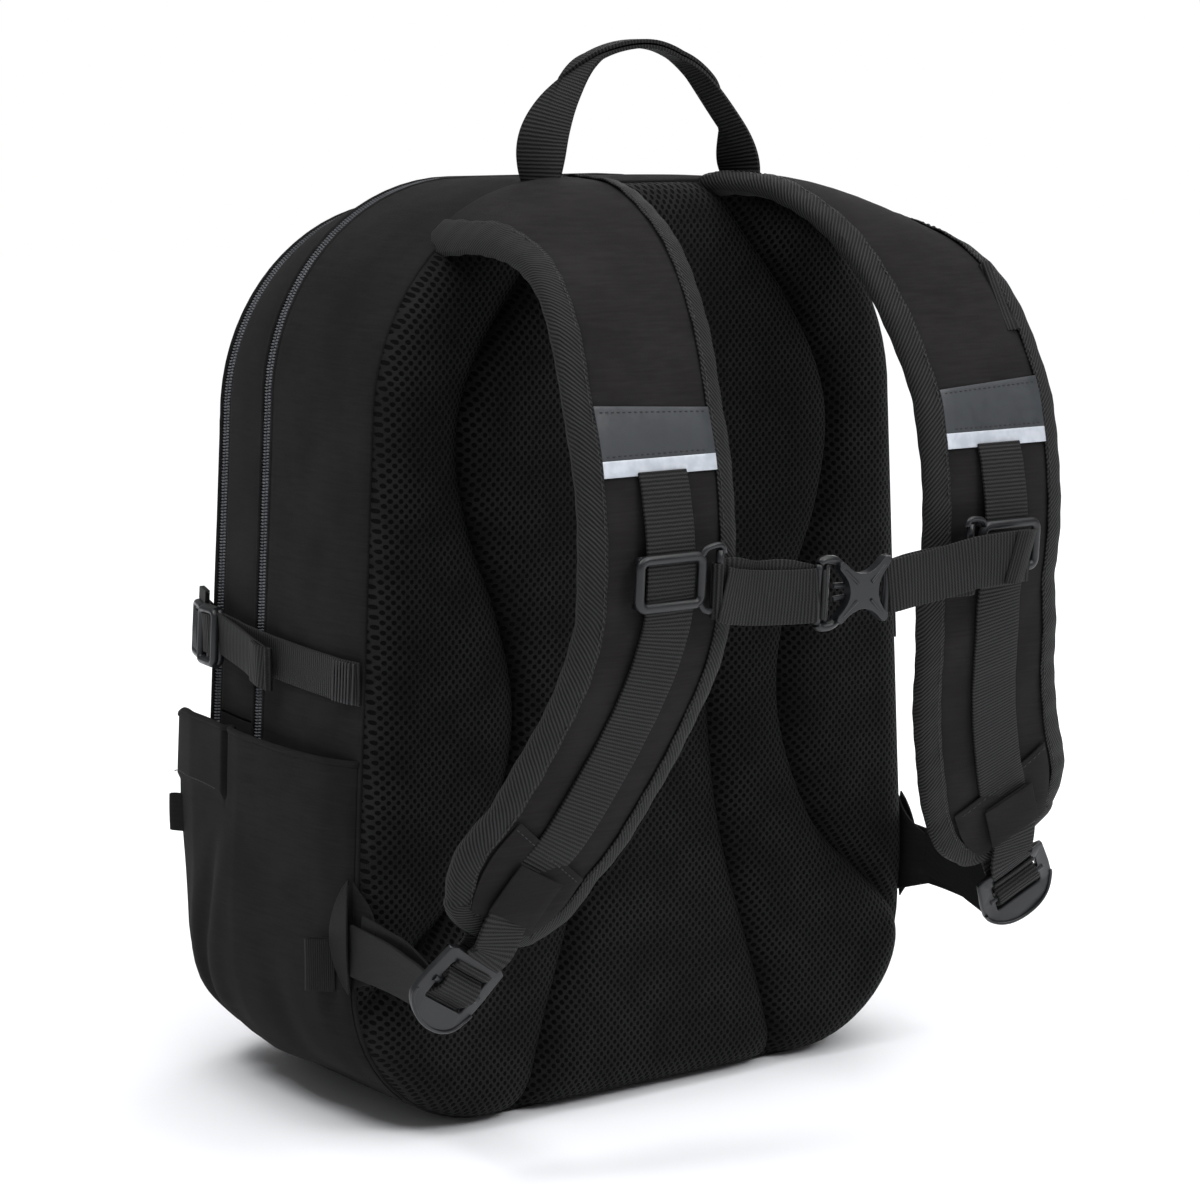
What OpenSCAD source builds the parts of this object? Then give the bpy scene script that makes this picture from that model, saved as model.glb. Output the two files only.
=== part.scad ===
// School backpack: panel-loading bag with two zipped sections, side pockets, compression
// straps, padded back, shoulder straps, chest strap and grab handle. Millimetres.
// +Z is up and z = 0 is the floor. +Y points out of the front pocket, and the wearer's back
// touches the -Y side. +X is the wearer's right.

/* [Bag body] */
// Height of the bag without its handle
bag_h = 440; // [430:1:450]
// Width of the bag near the floor
bag_w = 330; // [324:1:336]
// Width of the bag where the top arches begin
shoulder_w = 304; // [298:1:308]
// Radius of the two bottom corners
bottom_r = 72; // [64:1:80]
// Radius of the two top arches
top_r = 108; // [102:1:112]
// Thickness of the fabric walls with their lining
wall = 3; // [2.5:0.1:3.5]
// Thickness of the padding on the back panel
pad_t = 20; // [14:1:24]

/* [Depth] */
// Y of the seam round the back panel
back_y = -90; // [-94:1:-86]
// Y of the main zip
zip1_y = 4; // [0:1:8]
// Y of the front compartment's zip
zip2_y = 54; // [50:1:58]
// Y of the front face
front_y = 88; // [86:1:92]
// Depth of the front pocket
pocket_d = 16; // [10:1:22]
// Height at which the zipped sections hinge open
hinge_z = 182; // [178:1:186]

/* [Shoulder straps] */
// Width of a shoulder strap
strap_w = 84; // [76:1:88]
// Thickness of the strap's foam
strap_t = 11; // [8:0.5:12]
// Radius of the strap's curve over the chest
strap_r = 181.5; // [178:0.5:184]
// Width of the main webbing
web_w = 25; // [20:1:27]
// Thickness of all webbing
web_t = 1.4; // [1:0.1:1.6]
// Width of the compression straps
side_web_w = 20; // [18:1:22]

/* [Zips] */
// Width of one half of a zip's coil
coil_w = 2; // [1.8:0.1:2.2]
// Gap between a coil's halves
coil_gap = 1.2; // [1.1:0.1:1.4]

/* [Hidden] */
$fn = 32;
e = 0.01;
zip_half = coil_gap / 2 + coil_w;
hinge_y = front_y + 0.6;
front_top = bag_h - 44;
arch_x = shoulder_w / 2 - top_r;
arch_z = bag_h - top_r;
divider_y = zip2_y - 8;
sternum_y = -50;
sternum_z = 288;
sternum_deg = -4;
side_web_z = 220;
side_slope = atan((bag_w - shoulder_w) / 2 / (arch_z - bottom_r));
cloth = [0.13, 0.13, 0.14];
mesh_black = [0.09, 0.09, 0.1];
web_black = [0.07, 0.07, 0.08];
moulded = [0.16, 0.17, 0.18];

// ---- shared geometry ----

function arc(cx, cy, r, a0, a1, n = 7) =
  [for (i = [0:n]) let (a = a0 + (a1 - a0) * i / n) [cx + r * cos(a), cy + r * sin(a)]];

// The bag's outline seen from behind, d inside the surface.
function outline(d, hb, ht, top, bot, rb, rt) = concat(
  arc(hb - rb, bot + rb, rb - d, -90, 0), arc(ht - rt, top - rt, rt - d, 0, 90, 12),
  arc(rt - ht, top - rt, rt - d, 90, 180, 12), arc(rb - hb, bot + rb, rb - d, 180, 270));

// The four sections that the body runs through, as [y, outline].
function sections(d) = [
  [back_y + d, outline(d, bag_w / 2, shoulder_w / 2, bag_h, 0, bottom_r, top_r)],
  [zip1_y, outline(d, bag_w / 2 - 1, shoulder_w / 2 - 2, bag_h - 1, 0, bottom_r, top_r - 2)],
  [zip2_y, outline(d, bag_w / 2 - 6, shoulder_w / 2 - 8, bag_h - 14, 1, bottom_r, top_r - 6)],
  [front_y - d, outline(d, bag_w / 2 - 19, shoulder_w / 2 - 22, front_top, 12, bottom_r - 8,
    top_r - 16)]];

// A closed solid through rings of equal length.
module loft(rings) {
  n = len(rings[0]);
  m = len(rings);
  side = [for (j = [0:m - 2], i = [0:n - 1])
    let (k = (i + 1) % n, a = j * n + i, b = j * n + k, c = a + n, d = b + n)
    each [[a, b, d], [a, d, c]]];
  polyhedron([for (r = rings) each r],
    concat(side, [[for (i = [n - 1:-1:0]) i]], [[for (i = [0:n - 1]) (m - 1) * n + i]]));
}

module body_solid(d) {
  loft([for (s = sections(d)) [for (p = s[1]) [p.x, s[0], p.y]]]);
}

module body_shell() {
  difference() {
    body_solid(0);
    body_solid(wall);
  }
}

// A slab of space between two depths and above a height.
module space(y0, y1, z0, z1 = bag_h + 50) {
  translate([-220, y0, z0]) cube([440, y1 - y0, z1 - z0]);
}

// A flat sheet with the bag's outline, between two depths.
module panel(inset, y0, y1) {
  translate([0, y1, 0]) rotate([90, 0, 0]) linear_extrude(y1 - y0)
    polygon(outline(inset, bag_w / 2, shoulder_w / 2, bag_h, 0, bottom_r, top_r));
}

module both_sides() {
  children();
  mirror([1, 0, 0]) children();
}

module right_side() {
  mirror([1, 0, 0]) children();
}

// ---- body fabric ----

module rear_shell() {
  color(cloth) difference() {
    body_shell();
    space(zip1_y - zip_half, front_y + 40, hinge_z);
  }
}

module main_lining() {
  color([0.3, 0.3, 0.32]) difference() {
    panel(wall + 2.6, back_y + 12, zip1_y - 8);
    panel(wall + 3.4, back_y + 11, zip1_y - 7);
  }
}

module back_board() {
  color([0.85, 0.85, 0.82]) panel(10, back_y + wall + 0.5, back_y + wall + 2.1);
}

module base_board() {
  color([0.2, 0.2, 0.2]) translate([-86, back_y + 14, wall + 3.8])
    cube([172, divider_y - back_y - 18, 2]);
}

module laptop_sleeve() {
  color([0.25, 0.25, 0.27]) difference() {
    translate([-130, back_y + 6, 66]) cube([260, 29, 226]);
    translate([-128, back_y + 5, 68]) cube([256, 28, 240]);
    translate([-22, back_y + 30, 280]) cube([44, 10, 20]);
  }
}

module lower_divider() {
  color([0.3, 0.3, 0.32]) intersection() {
    translate([0, divider_y + 1.5, 0]) rotate([90, 0, 0]) linear_extrude(1.5)
      polygon(outline(wall + 4, bag_w / 2 - 6, shoulder_w / 2 - 8, bag_h - 14, 1, bottom_r,
        top_r - 6));
    space(divider_y - 1, divider_y + 3, 0, hinge_z - 1);
  }
}

// ---- padded back ----

// Half the width inside the outer seam, and inside the channel seam, by height.
outer_seam = [[0, 190], [72, 158], [100, 130], [118, 112], [150, 92], [185, 78], [215, 76],
  [250, 86], [290, 102], [330, 108], [360, 100], [390, 84], [415, 66], [440, 46]];
channel_seam = [[0, 78], [40, 68], [80, 54], [120, 40], [160, 31], [200, 25], [250, 21],
  [320, 21], [440, 24]];
seam_gap = 1.5;
function seam(table, grow, step = 16) =
  [for (z = [-10:step:bag_h + 20]) [lookup(z, table) + grow, z]];
function reversed(v) = [for (i = [len(v) - 1:-1:0]) v[i]];

module back_pad(t = pad_t) {
  translate([0, back_y - 0.3, 0]) rotate([90, 0, 0]) linear_extrude(t) intersection() {
    polygon(outline(5, bag_w / 2, shoulder_w / 2, bag_h, 0, bottom_r, top_r));
    children();
  }
}

module pad_side() {
  color(mesh_black) mirror([1, 0, 0]) back_pad(pad_t - 4) polygon(concat(
    seam(outer_seam, seam_gap), [[200, bag_h + 20], [200, -10]]));
}

module pad_mid() {
  color(mesh_black) mirror([1, 0, 0]) back_pad() polygon(concat(
    seam(channel_seam, seam_gap), reversed(seam(outer_seam, -seam_gap))));
}

module back_pad_centre() {
  color(mesh_black) back_pad() polygon(concat(
    [for (p = seam(channel_seam, -seam_gap)) [-p.x, p.y]],
    reversed(seam(channel_seam, -seam_gap))));
}

// ---- side pockets ----

// Plan of a left pocket's outer face at one height, pulled in by d at the sides.
function pocket_plan(x, d) = [[-60, back_y + 8 + d], [-x + 12, back_y + 8 + d],
  [-x - 6 + d, back_y + 26], [-x - 11 + d, -20], [-x - 11 + d, 40],
  [-x - 5 + d, 68], [-x + 8 + d / 2, 84 - d / 2], [-x + 26, 88 - d], [-60, 88 - d]];
pocket_top = hinge_z - 4;

module pocket_solid(d, top) {
  heights = [[14 + d, 118], [34, 146], [58, 157], [90, 164], [130, 162], [top, 159]];
  loft([for (h = heights) [for (p = pocket_plan(h[1], d)) [p.x, p.y, h[0]]]]);
}

module pocket_wall(d0, d1, z0, z1) {
  difference() {
    intersection() {
      pocket_solid(d0, pocket_top);
      translate([-220, back_y, z0]) cube([160, 200, z1 - z0]);
    }
    pocket_solid(d1, pocket_top + 20);
    pocket_core();
  }
}

// The body, grown slightly, which the pocket is sewn to.
module pocket_core() {
  loft([for (s = sections(-0.3)) [for (p = s[1]) [p.x, s[0], p.y]]]);
}

module side_pocket() {
  color(cloth) {
    pocket_wall(1.6, 3.6, 10, pocket_top - 0.2);
    pocket_wall(0.4, 3.6, pocket_top - 14, pocket_top - 0.2);
  }
}

// ---- compression straps and side buckles ----

// Places children against the left wall, with local x outwards, y along the bag and z up
// the wall.
module on_side(z) {
  mirror([1, 0, 0]) translate([bag_w / 2 - (z - bottom_r) * tan(side_slope), 0, z])
    rotate([0, -side_slope, 0]) children();
}

module side_strip(y0, y1, lift, t, w) {
  translate([lift, y0, -w / 2]) cube([t, y1 - y0, w]);
}

// The strap: a sewn end at the back seam, the run along the side, and the loose tail.
module compression_strap() {
  color(web_black) on_side(side_web_z) {
    side_strip(back_y + 2, 44, 4, web_t, side_web_w);
    side_strip(back_y + 2, back_y + 5, 0.6, 3.3, side_web_w);
    side_strip(-16, 34, 6.6, web_t, side_web_w);
    side_strip(-20, -16, 5.8, 3, side_web_w);
  }
}

// The half that carries the strap: a frame round the webbing and a flat tongue.
module side_buckle() {
  color(moulded) on_side(side_web_z) {
    difference() {
      side_strip(36, 56, 2.2, 9, side_web_w + 6);
      side_strip(35, 50, 3.6, 5.2, side_web_w + 1.2);
      side_strip(35, 57, 3.6, 2.2, side_web_w + 1.2);
      side_strip(39.5, 46, 8, 4, side_web_w + 1.2);
    }
    side_strip(55.9, 63, 6, 2.4, side_web_w - 2);
  }
}

// The half on the front panel, hollow to take the tongue and open below so that the tongue
// leaves it as the panel swings, with the webbing that is sewn to the panel.
module side_socket() {
  color(moulded) on_side(side_web_z) difference() {
    side_strip(57, 78, 2.6, 8, side_web_w + 5);
    translate([3.8, 56, -20]) cube([5.6, 10, 20 + side_web_w / 2 + 0.8]);
    side_strip(71, 74.5, 1, 12, side_web_w + 1);
  }
  color(web_black) on_side(side_web_z) {
    side_strip(71.4, 74.1, 4.6, 2.4, side_web_w);
    ribbon([[5.7, 72.8, 0], [1.6, 79.4, 0], [-9, 84.6, 0], [-18.6, 85.4, 0]],
      [[0, 0, 1], [0, 0, 1], [0, 0, 1], [0, 0, 1]], side_web_w, web_t, 0, 0);
  }
}

// ---- small fabric pieces on the bag ----

strap_top = [-80, back_y - 2, bag_h - 3];
strap_foot = [-165, back_y - 6, 96];

// The sewn end of each shoulder strap: a half disc that the pad swings round.
module strap_roots() {
  color(cloth) both_sides() difference() {
    translate([strap_top.x, strap_top.y, bag_h - 4]) cylinder(r = 33, h = 6.5, $fn = 64);
    space(back_y - 0.4, 40, 0);
  }
}

// The triangle of cloth at each lower corner that holds the strap's webbing.
module strap_wings() {
  color(cloth) both_sides() translate([-bag_w / 2 + 1.5, back_y - 0.8, 0])
    rotate([0, -90, 0]) linear_extrude(3)
      polygon([[62, 0], [126, 0], [110, -14], [84, -14]]);
}

module fabric_tabs() {
  color(web_black) {
    translate([-158.8, front_y - 6.5, 117]) cube([1.6, 17, 18]);
    translate([-178.5, -58.5, 70]) cube([7.5, 3, 21]);
    translate([-52, front_y + pocket_d + 0.1, 120]) cube([30, 1.2, 14]);
  }
}

pocket_w = 210;
pocket_z0 = 26;
pocket_z1 = 170;
pocket_zip_z = 150;
module front_pocket() {
  color(cloth) difference() {
    translate([0, front_y + pocket_d, 0]) rotate([90, 0, 0]) linear_extrude(pocket_d - 0.3)
      pocket_outline(0);
    translate([0, front_y + pocket_d - 2, 0]) rotate([90, 0, 0]) linear_extrude(pocket_d)
      pocket_outline(2);
    translate([-82, front_y, pocket_zip_z - zip_half]) cube([164, 30, 2 * zip_half]);
  }
}

module pocket_outline(d) {
  r = 26;
  polygon(concat(
    arc(pocket_w / 2 - r, pocket_z0 + r, r - d, -90, 0, 5),
    arc(pocket_w / 2 - r, pocket_z1 - r, r - d, 0, 90, 5),
    arc(r - pocket_w / 2, pocket_z1 - r, r - d, 90, 180, 5),
    arc(r - pocket_w / 2, pocket_z0 + r, r - d, 180, 270, 5)));
}

// The coil halves that stay with the bag: the main zip's rear half and the pocket's two.
module zip_coils_bag() {
  coil(0, zip1_y - zip_half, zip1_y - coil_gap / 2);
  color(web_black) for (s = [-1, 1])
    translate([-82, front_y + pocket_d - 1.6,
      pocket_zip_z + (s > 0 ? coil_gap / 2 : -zip_half)]) cube([164, 1.6, coil_w]);
}

// ---- zipped sections ----

// One half of a zip's coil round the arch, between two depths.
module coil(d, y0, y1, z0 = hinge_z + 0.6) {
  color(web_black) intersection() {
    difference() {
      body_solid(d - 0.2);
      body_solid(d + 1);
    }
    space(y0, y1, z0);
  }
}

module main_lid() {
  color(cloth) intersection() {
    body_shell();
    space(zip1_y + zip_half, zip2_y - zip_half, hinge_z + 0.6);
  }
}

module main_lid_divider() {
  color([0.3, 0.3, 0.32]) intersection() {
    translate([0, divider_y + 1.5, 0]) rotate([90, 0, 0]) linear_extrude(1.5)
      polygon(outline(wall + 2.2, bag_w / 2 - 6, shoulder_w / 2 - 8, bag_h - 14, 1, bottom_r,
        top_r - 6));
    space(divider_y - 1, divider_y + 3, hinge_z + 0.6);
  }
}

module front_panel() {
  color(cloth) intersection() {
    body_shell();
    space(zip2_y + zip_half, front_y + 10, hinge_z + 0.6);
  }
}

// ---- zip sliders and their pulls ----

// A slider lying on a coil: local z runs along the zip and local x points outwards.
module slider_body() {
  color([0.35, 0.36, 0.38]) {
    translate([-4.6, -1.8, -5.5]) cube([1, 3.6, 11]);
    translate([1.1, -3.5, -5.5]) cube([1.3, 7, 11]);
    translate([-3.7, -0.35, -5]) cube([4.9, 0.7, 4]);
    difference() {
      translate([2.3, -1, -4]) cube([2.8, 2, 8]);
      translate([2.2, -1.5, -2.6]) cube([1.7, 3, 5.2]);
    }
  }
}

// A pull hooked through the slider's bridge and lying down along the zip.
module slider_pull(len = 24) {
  color([0.2, 0.2, 0.21]) {
    difference() {
      translate([2.7, -2.8, -8]) cube([0.9, 5.6, 9]);
      translate([2.4, -1.4, -5.4]) cube([1.6, 2.8, 5.4]);
    }
    translate([2.5, -2.9, -7.4 - len]) cube([1.6, 5.8, len + 0.2]);
  }
}

// The right wall at a zip: the outline's half width there, low down and at the arch, and
// the heights of the corner and of the arch.
zip1_wall = [bag_w / 2 - 1, shoulder_w / 2 - 2, bottom_r, bag_h + 1 - top_r];
zip2_wall = [bag_w / 2 - 6, shoulder_w / 2 - 8, bottom_r + 1, bag_h - 8 - top_r];
slider_out = 0.5;

// Places children on the right wall at a zip, with local x outwards and z up the wall.
module on_wall(y, z, w) {
  slope = atan((w[0] - w[1]) / (w[3] - w[2]));
  translate([w[0] - (z - w[2]) * tan(slope), y, z]) rotate([0, -slope, 0])
    translate([slider_out, 0, 0]) children();
}

// Places children on the right arch at an angle above the horizontal.
module on_arch(y, deg, w, r) {
  translate([w[1] - r, y, w[3]]) rotate([0, -deg, 0]) translate([r + slider_out, 0, 0])
    children();
}

module main_side_place() {
  on_wall(zip1_y, 300, zip1_wall) children();
}

module main_arch_place() {
  on_arch(zip1_y, 34, zip1_wall, top_r - 2) children();
}

module front_side_place() {
  on_wall(zip2_y, 290, zip2_wall) children();
}

module front_arch_place() {
  on_arch(zip2_y, 26, zip2_wall, top_r - 6) children();
}

module pocket_slider_place() {
  multmatrix([[0, 0, 1, 70], [1, 0, 0, front_y + pocket_d + 0.2], [0, 1, 0, pocket_zip_z]])
    children();
}

// ---- grab handle ----

handle_x = 57;
handle_y = back_y - 1;
handle_h = 60;
handle_n = 22;
// The handle's arch, up one side and down the other.
function handle_point(u) = let (a = 180 - 180 * u)
  [handle_x * cos(a) * (1 - 0.12 * sin(a)), handle_y + 6 * sin(a),
    bag_h + 6 + handle_h * pow(sin(a), 0.8)];
function handle_across(u) = let (k = min(1, max(0, (min(u, 1 - u) - 0.08) / 0.2)))
  [cos(90 * k), sin(90 * k), 0];

module grab_handle() {
  us = [for (i = [0:handle_n]) i / handle_n];
  color(web_black) ribbon([for (u = us) handle_point(u)], [for (u = us) handle_across(u)],
    web_w, 2.4, 0, 0);
}

// ---- shoulder straps ----

function unit(v) = v / norm(v);
function heading(path, i) = unit(path[min(i + 1, len(path) - 1)] - path[max(i - 1, 0)]);
function square_to(hint, t) = unit(hint - (hint * t) * t);

// A flat strip along a path. across gives the width's direction at each point, lift moves
// the strip off the path's outer face, and shift moves it sideways.
module ribbon(path, across, width, thick, lift, shift) {
  rings = [for (i = [0:len(path) - 1])
    let (t = heading(path, i), a = square_to(across[i], t), n = cross(t, a),
      c = path[i] + a * shift + n * lift)
    [c - a * width / 2 - n * thick / 2, c - a * width / 2 + n * thick / 2,
      c + a * width / 2 + n * thick / 2, c + a * width / 2 - n * thick / 2]];
  loft(rings);
}

// The left strap's centreline: over the shoulder, a true arc over the chest, and out to the
// bag's corner.
shoulder_route = [[-81, -134, 437], [-83, -150, 431], [-86, -170, 420], [-89, -188, 404],
  [-92, -203, 385], [-95, -213, 366]];
corner_route = [[-98.5, -227.5, 245], [-102, -223, 229], [-108, -216, 209], [-116, -208, 188],
  [-126, -200, 167], [-138, -192, 147], [-150, -184.5, 128]];
chest_x = -97;
function chest_arc(deg, r = strap_r) =
  [chest_x, sternum_y - r * cos(deg), sternum_z + r * sin(deg)];
strap_path = concat(shoulder_route, [for (a = [19:-3:-11]) chest_arc(a)], corner_route);
x_axis = [for (p = strap_path) [1, 0, 0]];

module strap_strip(from, to, width, thick, lift, shift = 0) {
  part = [for (i = [from:to]) strap_path[i]];
  ribbon(part, [for (p = part) [1, 0, 0]], width, thick, lift, shift);
}

last = len(strap_path) - 1;

module shoulder_pad() {
  color(cloth) strap_strip(0, last, strap_w - 8, strap_t, 0);
}

module strap_binding() {
  color(web_black) for (s = [-1, 1])
    strap_strip(0, last, 3.7, strap_t - 3, 0, s * (strap_w / 2 - 1.95));
}

web_lift = strap_t / 2 + 3.2;
module strap_webbing() {
  color(web_black) {
    strap_strip(9, last - 1, web_w, web_t, web_lift);
    strap_strip(9, 10, web_w, 2.6, strap_t / 2 + 1.5);
    strap_strip(last - 2, last - 1, web_w, 2.6, strap_t / 2 + 1.5);
  }
}

module strap_patch() {
  color([0.22, 0.24, 0.26]) strap_strip(6, 8, 60, 0.8, strap_t / 2 + 0.5);
}

module strap_reflector() {
  color([0.75, 0.77, 0.8]) strap_strip(8, 9, 60, 0.5, strap_t / 2 + 0.36);
}

// ---- ladder locks and lower webbing ----

lock_at = [-159, -180, 99];
lock_dir = unit([-16, 10, -22]);
lock_x = square_to([1, 0, 0], lock_dir);
lock_n = cross(lock_dir, lock_x);

// Places children at the ladder lock's upper bar: x across, y outwards, z back up the strap.
module on_lock() {
  multmatrix([[lock_x.x, lock_n.x, -lock_dir.x, lock_at.x],
    [lock_x.y, lock_n.y, -lock_dir.y, lock_at.y],
    [lock_x.z, lock_n.z, -lock_dir.z, lock_at.z]]) children();
}

bar_r = 1.8;
module across_bar(z, y = 0, r = bar_r, l = 34) {
  translate([-l / 2, y, z]) rotate([0, 90, 0]) cylinder(r = r, h = l);
}

module ladder_lock() {
  color(moulded) on_lock() {
    across_bar(0);
    difference() {
      rotate([90, 0, 0]) translate([0, 0, -1.7]) linear_extrude(3.4) lock_outline();
      translate([-13.5, -10, -9]) cube([27, 20, 13]);
      translate([-13.5, -10, -20.5]) cube([27, 20, 8]);
    }
    across_bar(-30.4, 1.2, 1.6, 26);
  }
}

module lock_outline() {
  intersection() {
    translate([-20.5, -34]) square([41, 38]);
    translate([0, -10]) circle(r = 25, $fn = 64);
  }
}

// The webbing sewn to the strap's end and looped round the lock's upper bar.
module strap_end_webbing() {
  color(web_black) on_lock() difference() {
    union() {
      across_bar(0, 0, 3.6, web_w);
      translate([-web_w / 2, 2.2, 0]) cube([web_w, web_t, 22]);
    }
    across_bar(0, 0, 2.2, web_w + 2);
    translate([-web_w, -2.1, 0]) cube([2 * web_w, 4.2, 30]);
  }
}

// The adjusting webbing from the lock back to the bag's corner.
lower_route = [[-170, -166.4, 82.6], [-169.5, -159, 84.5], [-168.5, -146, 88], [-168, -132, 91],
  [-168, -118, 94], [-167.5, -108, 95.5]];
lower_across = [[0.83, 0.2, -0.5], [0.5, 0.1, -0.86], [0.2, 0, -0.98], [0, 0, -1], [0, 0, -1],
  [0, 0, -1]];

module strap_tail() {
  strap_end_webbing();
  color(web_black) ribbon(lower_route, lower_across, web_w, web_t, 0, 0);
}

// ---- chest strap ----

// Places children on the chest arc: x across, y outwards from the arc's centre, z along it.
module on_chest(deg = sternum_deg) {
  translate([0, sternum_y, sternum_z]) rotate([-deg, 0, 0]) mirror([0, 1, 0]) children();
}

web_face = strap_r + web_lift;
module chest_slider() {
  color(moulded) on_chest() {
    difference() {
      translate([chest_x - 20, web_face - 2.6, -11]) cube([41, 5.6, 22]);
      translate([chest_x - 14, web_face - 1.5, -12]) cube([28, 3.4, 24]);
      translate([chest_x - 13, web_face - 4, -7]) cube([26, 10, 14]);
      translate([chest_x - 21, web_face - 3, -12]) cube([2, 2.6, 24]);
    }
    translate([chest_x + 24.5, web_face + 0.6, -15]) cylinder(r = 2, h = 30);
    for (z = [-15, 11]) translate([chest_x + 18, web_face - 0.8, z]) cube([6.6, 2.8, 4]);
  }
}

chest_y = web_face + 4.2;
module chest_web(x0, x1, y = chest_y) {
  on_chest() translate([x0, y - web_t / 2, -web_w / 2]) cube([x1 - x0, web_t, web_w]);
}

module chest_webbing_left() {
  color(web_black) {
    chest_web(chest_x + 27.2, -15.8);
    chest_web(chest_x + 27.2, -46, chest_y - 1.8);
  }
}

module chest_webbing_right() {
  color(web_black) {
    chest_web(2, -chest_x - 27.2);
    chest_web(14, -chest_x + 4, chest_y + 3.8);
  }
}

// The hollow half of the chest buckle, with the bar that the left webbing loops round.
module chest_socket() {
  color(moulded) on_chest() {
    difference() {
      translate([-18.6, chest_y - 3.6, -16]) cube([18.6, 7.4, 32]);
      translate([-15.4, chest_y - 6, -13.4]) cube([4, 12, 26.8]);
      translate([-10.2, chest_y - 1.9, -13]) cube([12, 4, 26]);
      translate([-20, chest_y - 4.6, -13.4]) cube([5, 5.6, 26.8]);
    }
  }
}

// The tongued half, with a frame that the right webbing runs through.
module chest_latch() {
  color(moulded) on_chest() {
    difference() {
      translate([0.8, chest_y - 3.6, -16]) cube([22, 9, 32]);
      translate([1.6, chest_y - 1.3, -13.2]) cube([24, 2.6, 26.4]);
      translate([5, chest_y - 6, -13.2]) cube([5, 14, 26.4]);
      translate([13.4, chest_y, -13.2]) cube([12, 8, 26.4]);
    }
    for (z = [-11, 5]) translate([-9, chest_y - 0.9, z]) cube([9.9, 2, 6]);
  }
}

// ---- nodes ----

rear_shell();
main_lining();
back_board();
base_board();
laptop_sleeve();
lower_divider();
pad_side();  // back_pad_side_left
right_side() pad_side();  // back_pad_side_right
pad_mid();  // back_pad_mid_left
right_side() pad_mid();  // back_pad_mid_right
back_pad_centre();
side_pocket();  // side_pocket_left
right_side() side_pocket();  // side_pocket_right
compression_strap();  // compression_strap_left
right_side() compression_strap();  // compression_strap_right
strap_roots();
strap_wings();
fabric_tabs();
front_pocket();
zip_coils_bag();
main_lid();
main_lid_divider();
coil(0, zip1_y + coil_gap / 2, zip1_y + zip_half);  // main_coil_lid
coil(0, zip2_y - zip_half, zip2_y - coil_gap / 2);  // front_coil_lid
front_panel();
coil(0, zip2_y + coil_gap / 2, zip2_y + zip_half);  // front_coil_panel
both_sides() side_socket();  // side_buckle_sockets
grab_handle();
shoulder_pad();  // shoulder_pad_left
right_side() shoulder_pad();  // shoulder_pad_right
strap_binding();  // strap_binding_left
right_side() strap_binding();  // strap_binding_right
strap_webbing();  // strap_webbing_left
right_side() strap_webbing();  // strap_webbing_right
strap_patch();  // strap_patch_left
right_side() strap_patch();  // strap_patch_right
strap_reflector();  // strap_reflector_left
right_side() strap_reflector();  // strap_reflector_right
strap_tail();  // strap_tail_left
right_side() strap_tail();  // strap_tail_right
ladder_lock();  // ladder_lock_left
right_side() ladder_lock();  // ladder_lock_right
chest_slider();  // chest_slider_left
right_side() chest_slider();  // chest_slider_right
chest_webbing_left();
chest_webbing_right();
chest_socket();
chest_latch();
side_buckle();  // side_buckle_left
right_side() side_buckle();  // side_buckle_right
main_side_place() slider_body();  // main_slider_side
main_arch_place() slider_body();  // main_slider_arch
front_side_place() slider_body();  // front_slider_side
front_arch_place() slider_body();  // front_slider_arch
pocket_slider_place() slider_body();  // pocket_slider
main_side_place() slider_pull();  // main_pull_side
main_arch_place() slider_pull();  // main_pull_arch
front_side_place() slider_pull();  // front_pull_side
front_arch_place() slider_pull();  // front_pull_arch
pocket_slider_place() slider_pull();  // pocket_pull
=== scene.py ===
"""Looks for the school backpack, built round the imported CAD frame."""

from contextlib import contextmanager
from math import ceil, cos, exp, pi, radians, sin, tanh

import bmesh
import bpy
import numpy as np
from mathutils import Matrix, Vector


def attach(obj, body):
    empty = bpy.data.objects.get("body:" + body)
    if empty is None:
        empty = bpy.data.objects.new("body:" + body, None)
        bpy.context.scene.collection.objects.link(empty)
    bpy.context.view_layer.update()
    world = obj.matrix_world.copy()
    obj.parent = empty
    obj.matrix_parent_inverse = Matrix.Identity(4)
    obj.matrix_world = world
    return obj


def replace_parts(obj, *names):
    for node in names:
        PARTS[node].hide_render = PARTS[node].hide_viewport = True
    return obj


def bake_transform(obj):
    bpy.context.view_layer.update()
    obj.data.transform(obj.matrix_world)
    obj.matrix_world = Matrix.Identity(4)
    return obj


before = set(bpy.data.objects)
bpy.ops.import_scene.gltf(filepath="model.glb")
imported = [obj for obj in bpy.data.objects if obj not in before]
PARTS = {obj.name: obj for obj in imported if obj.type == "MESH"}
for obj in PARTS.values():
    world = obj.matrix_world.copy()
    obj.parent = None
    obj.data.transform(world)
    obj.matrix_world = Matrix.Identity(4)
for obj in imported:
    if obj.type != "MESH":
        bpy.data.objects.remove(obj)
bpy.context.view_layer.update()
scene = bpy.context.scene

# ---- small helpers


def vec(*p):
    return np.array(p, float)


def unit(v):
    v = np.asarray(v, float)
    n = np.linalg.norm(v, axis=-1, keepdims=True)
    return v / np.maximum(n, 1e-12)


def smooth(a, b, x):
    t = np.clip((np.asarray(x, float) - a) / (b - a), 0, 1)
    return t * t * (3 - 2 * t)


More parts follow.
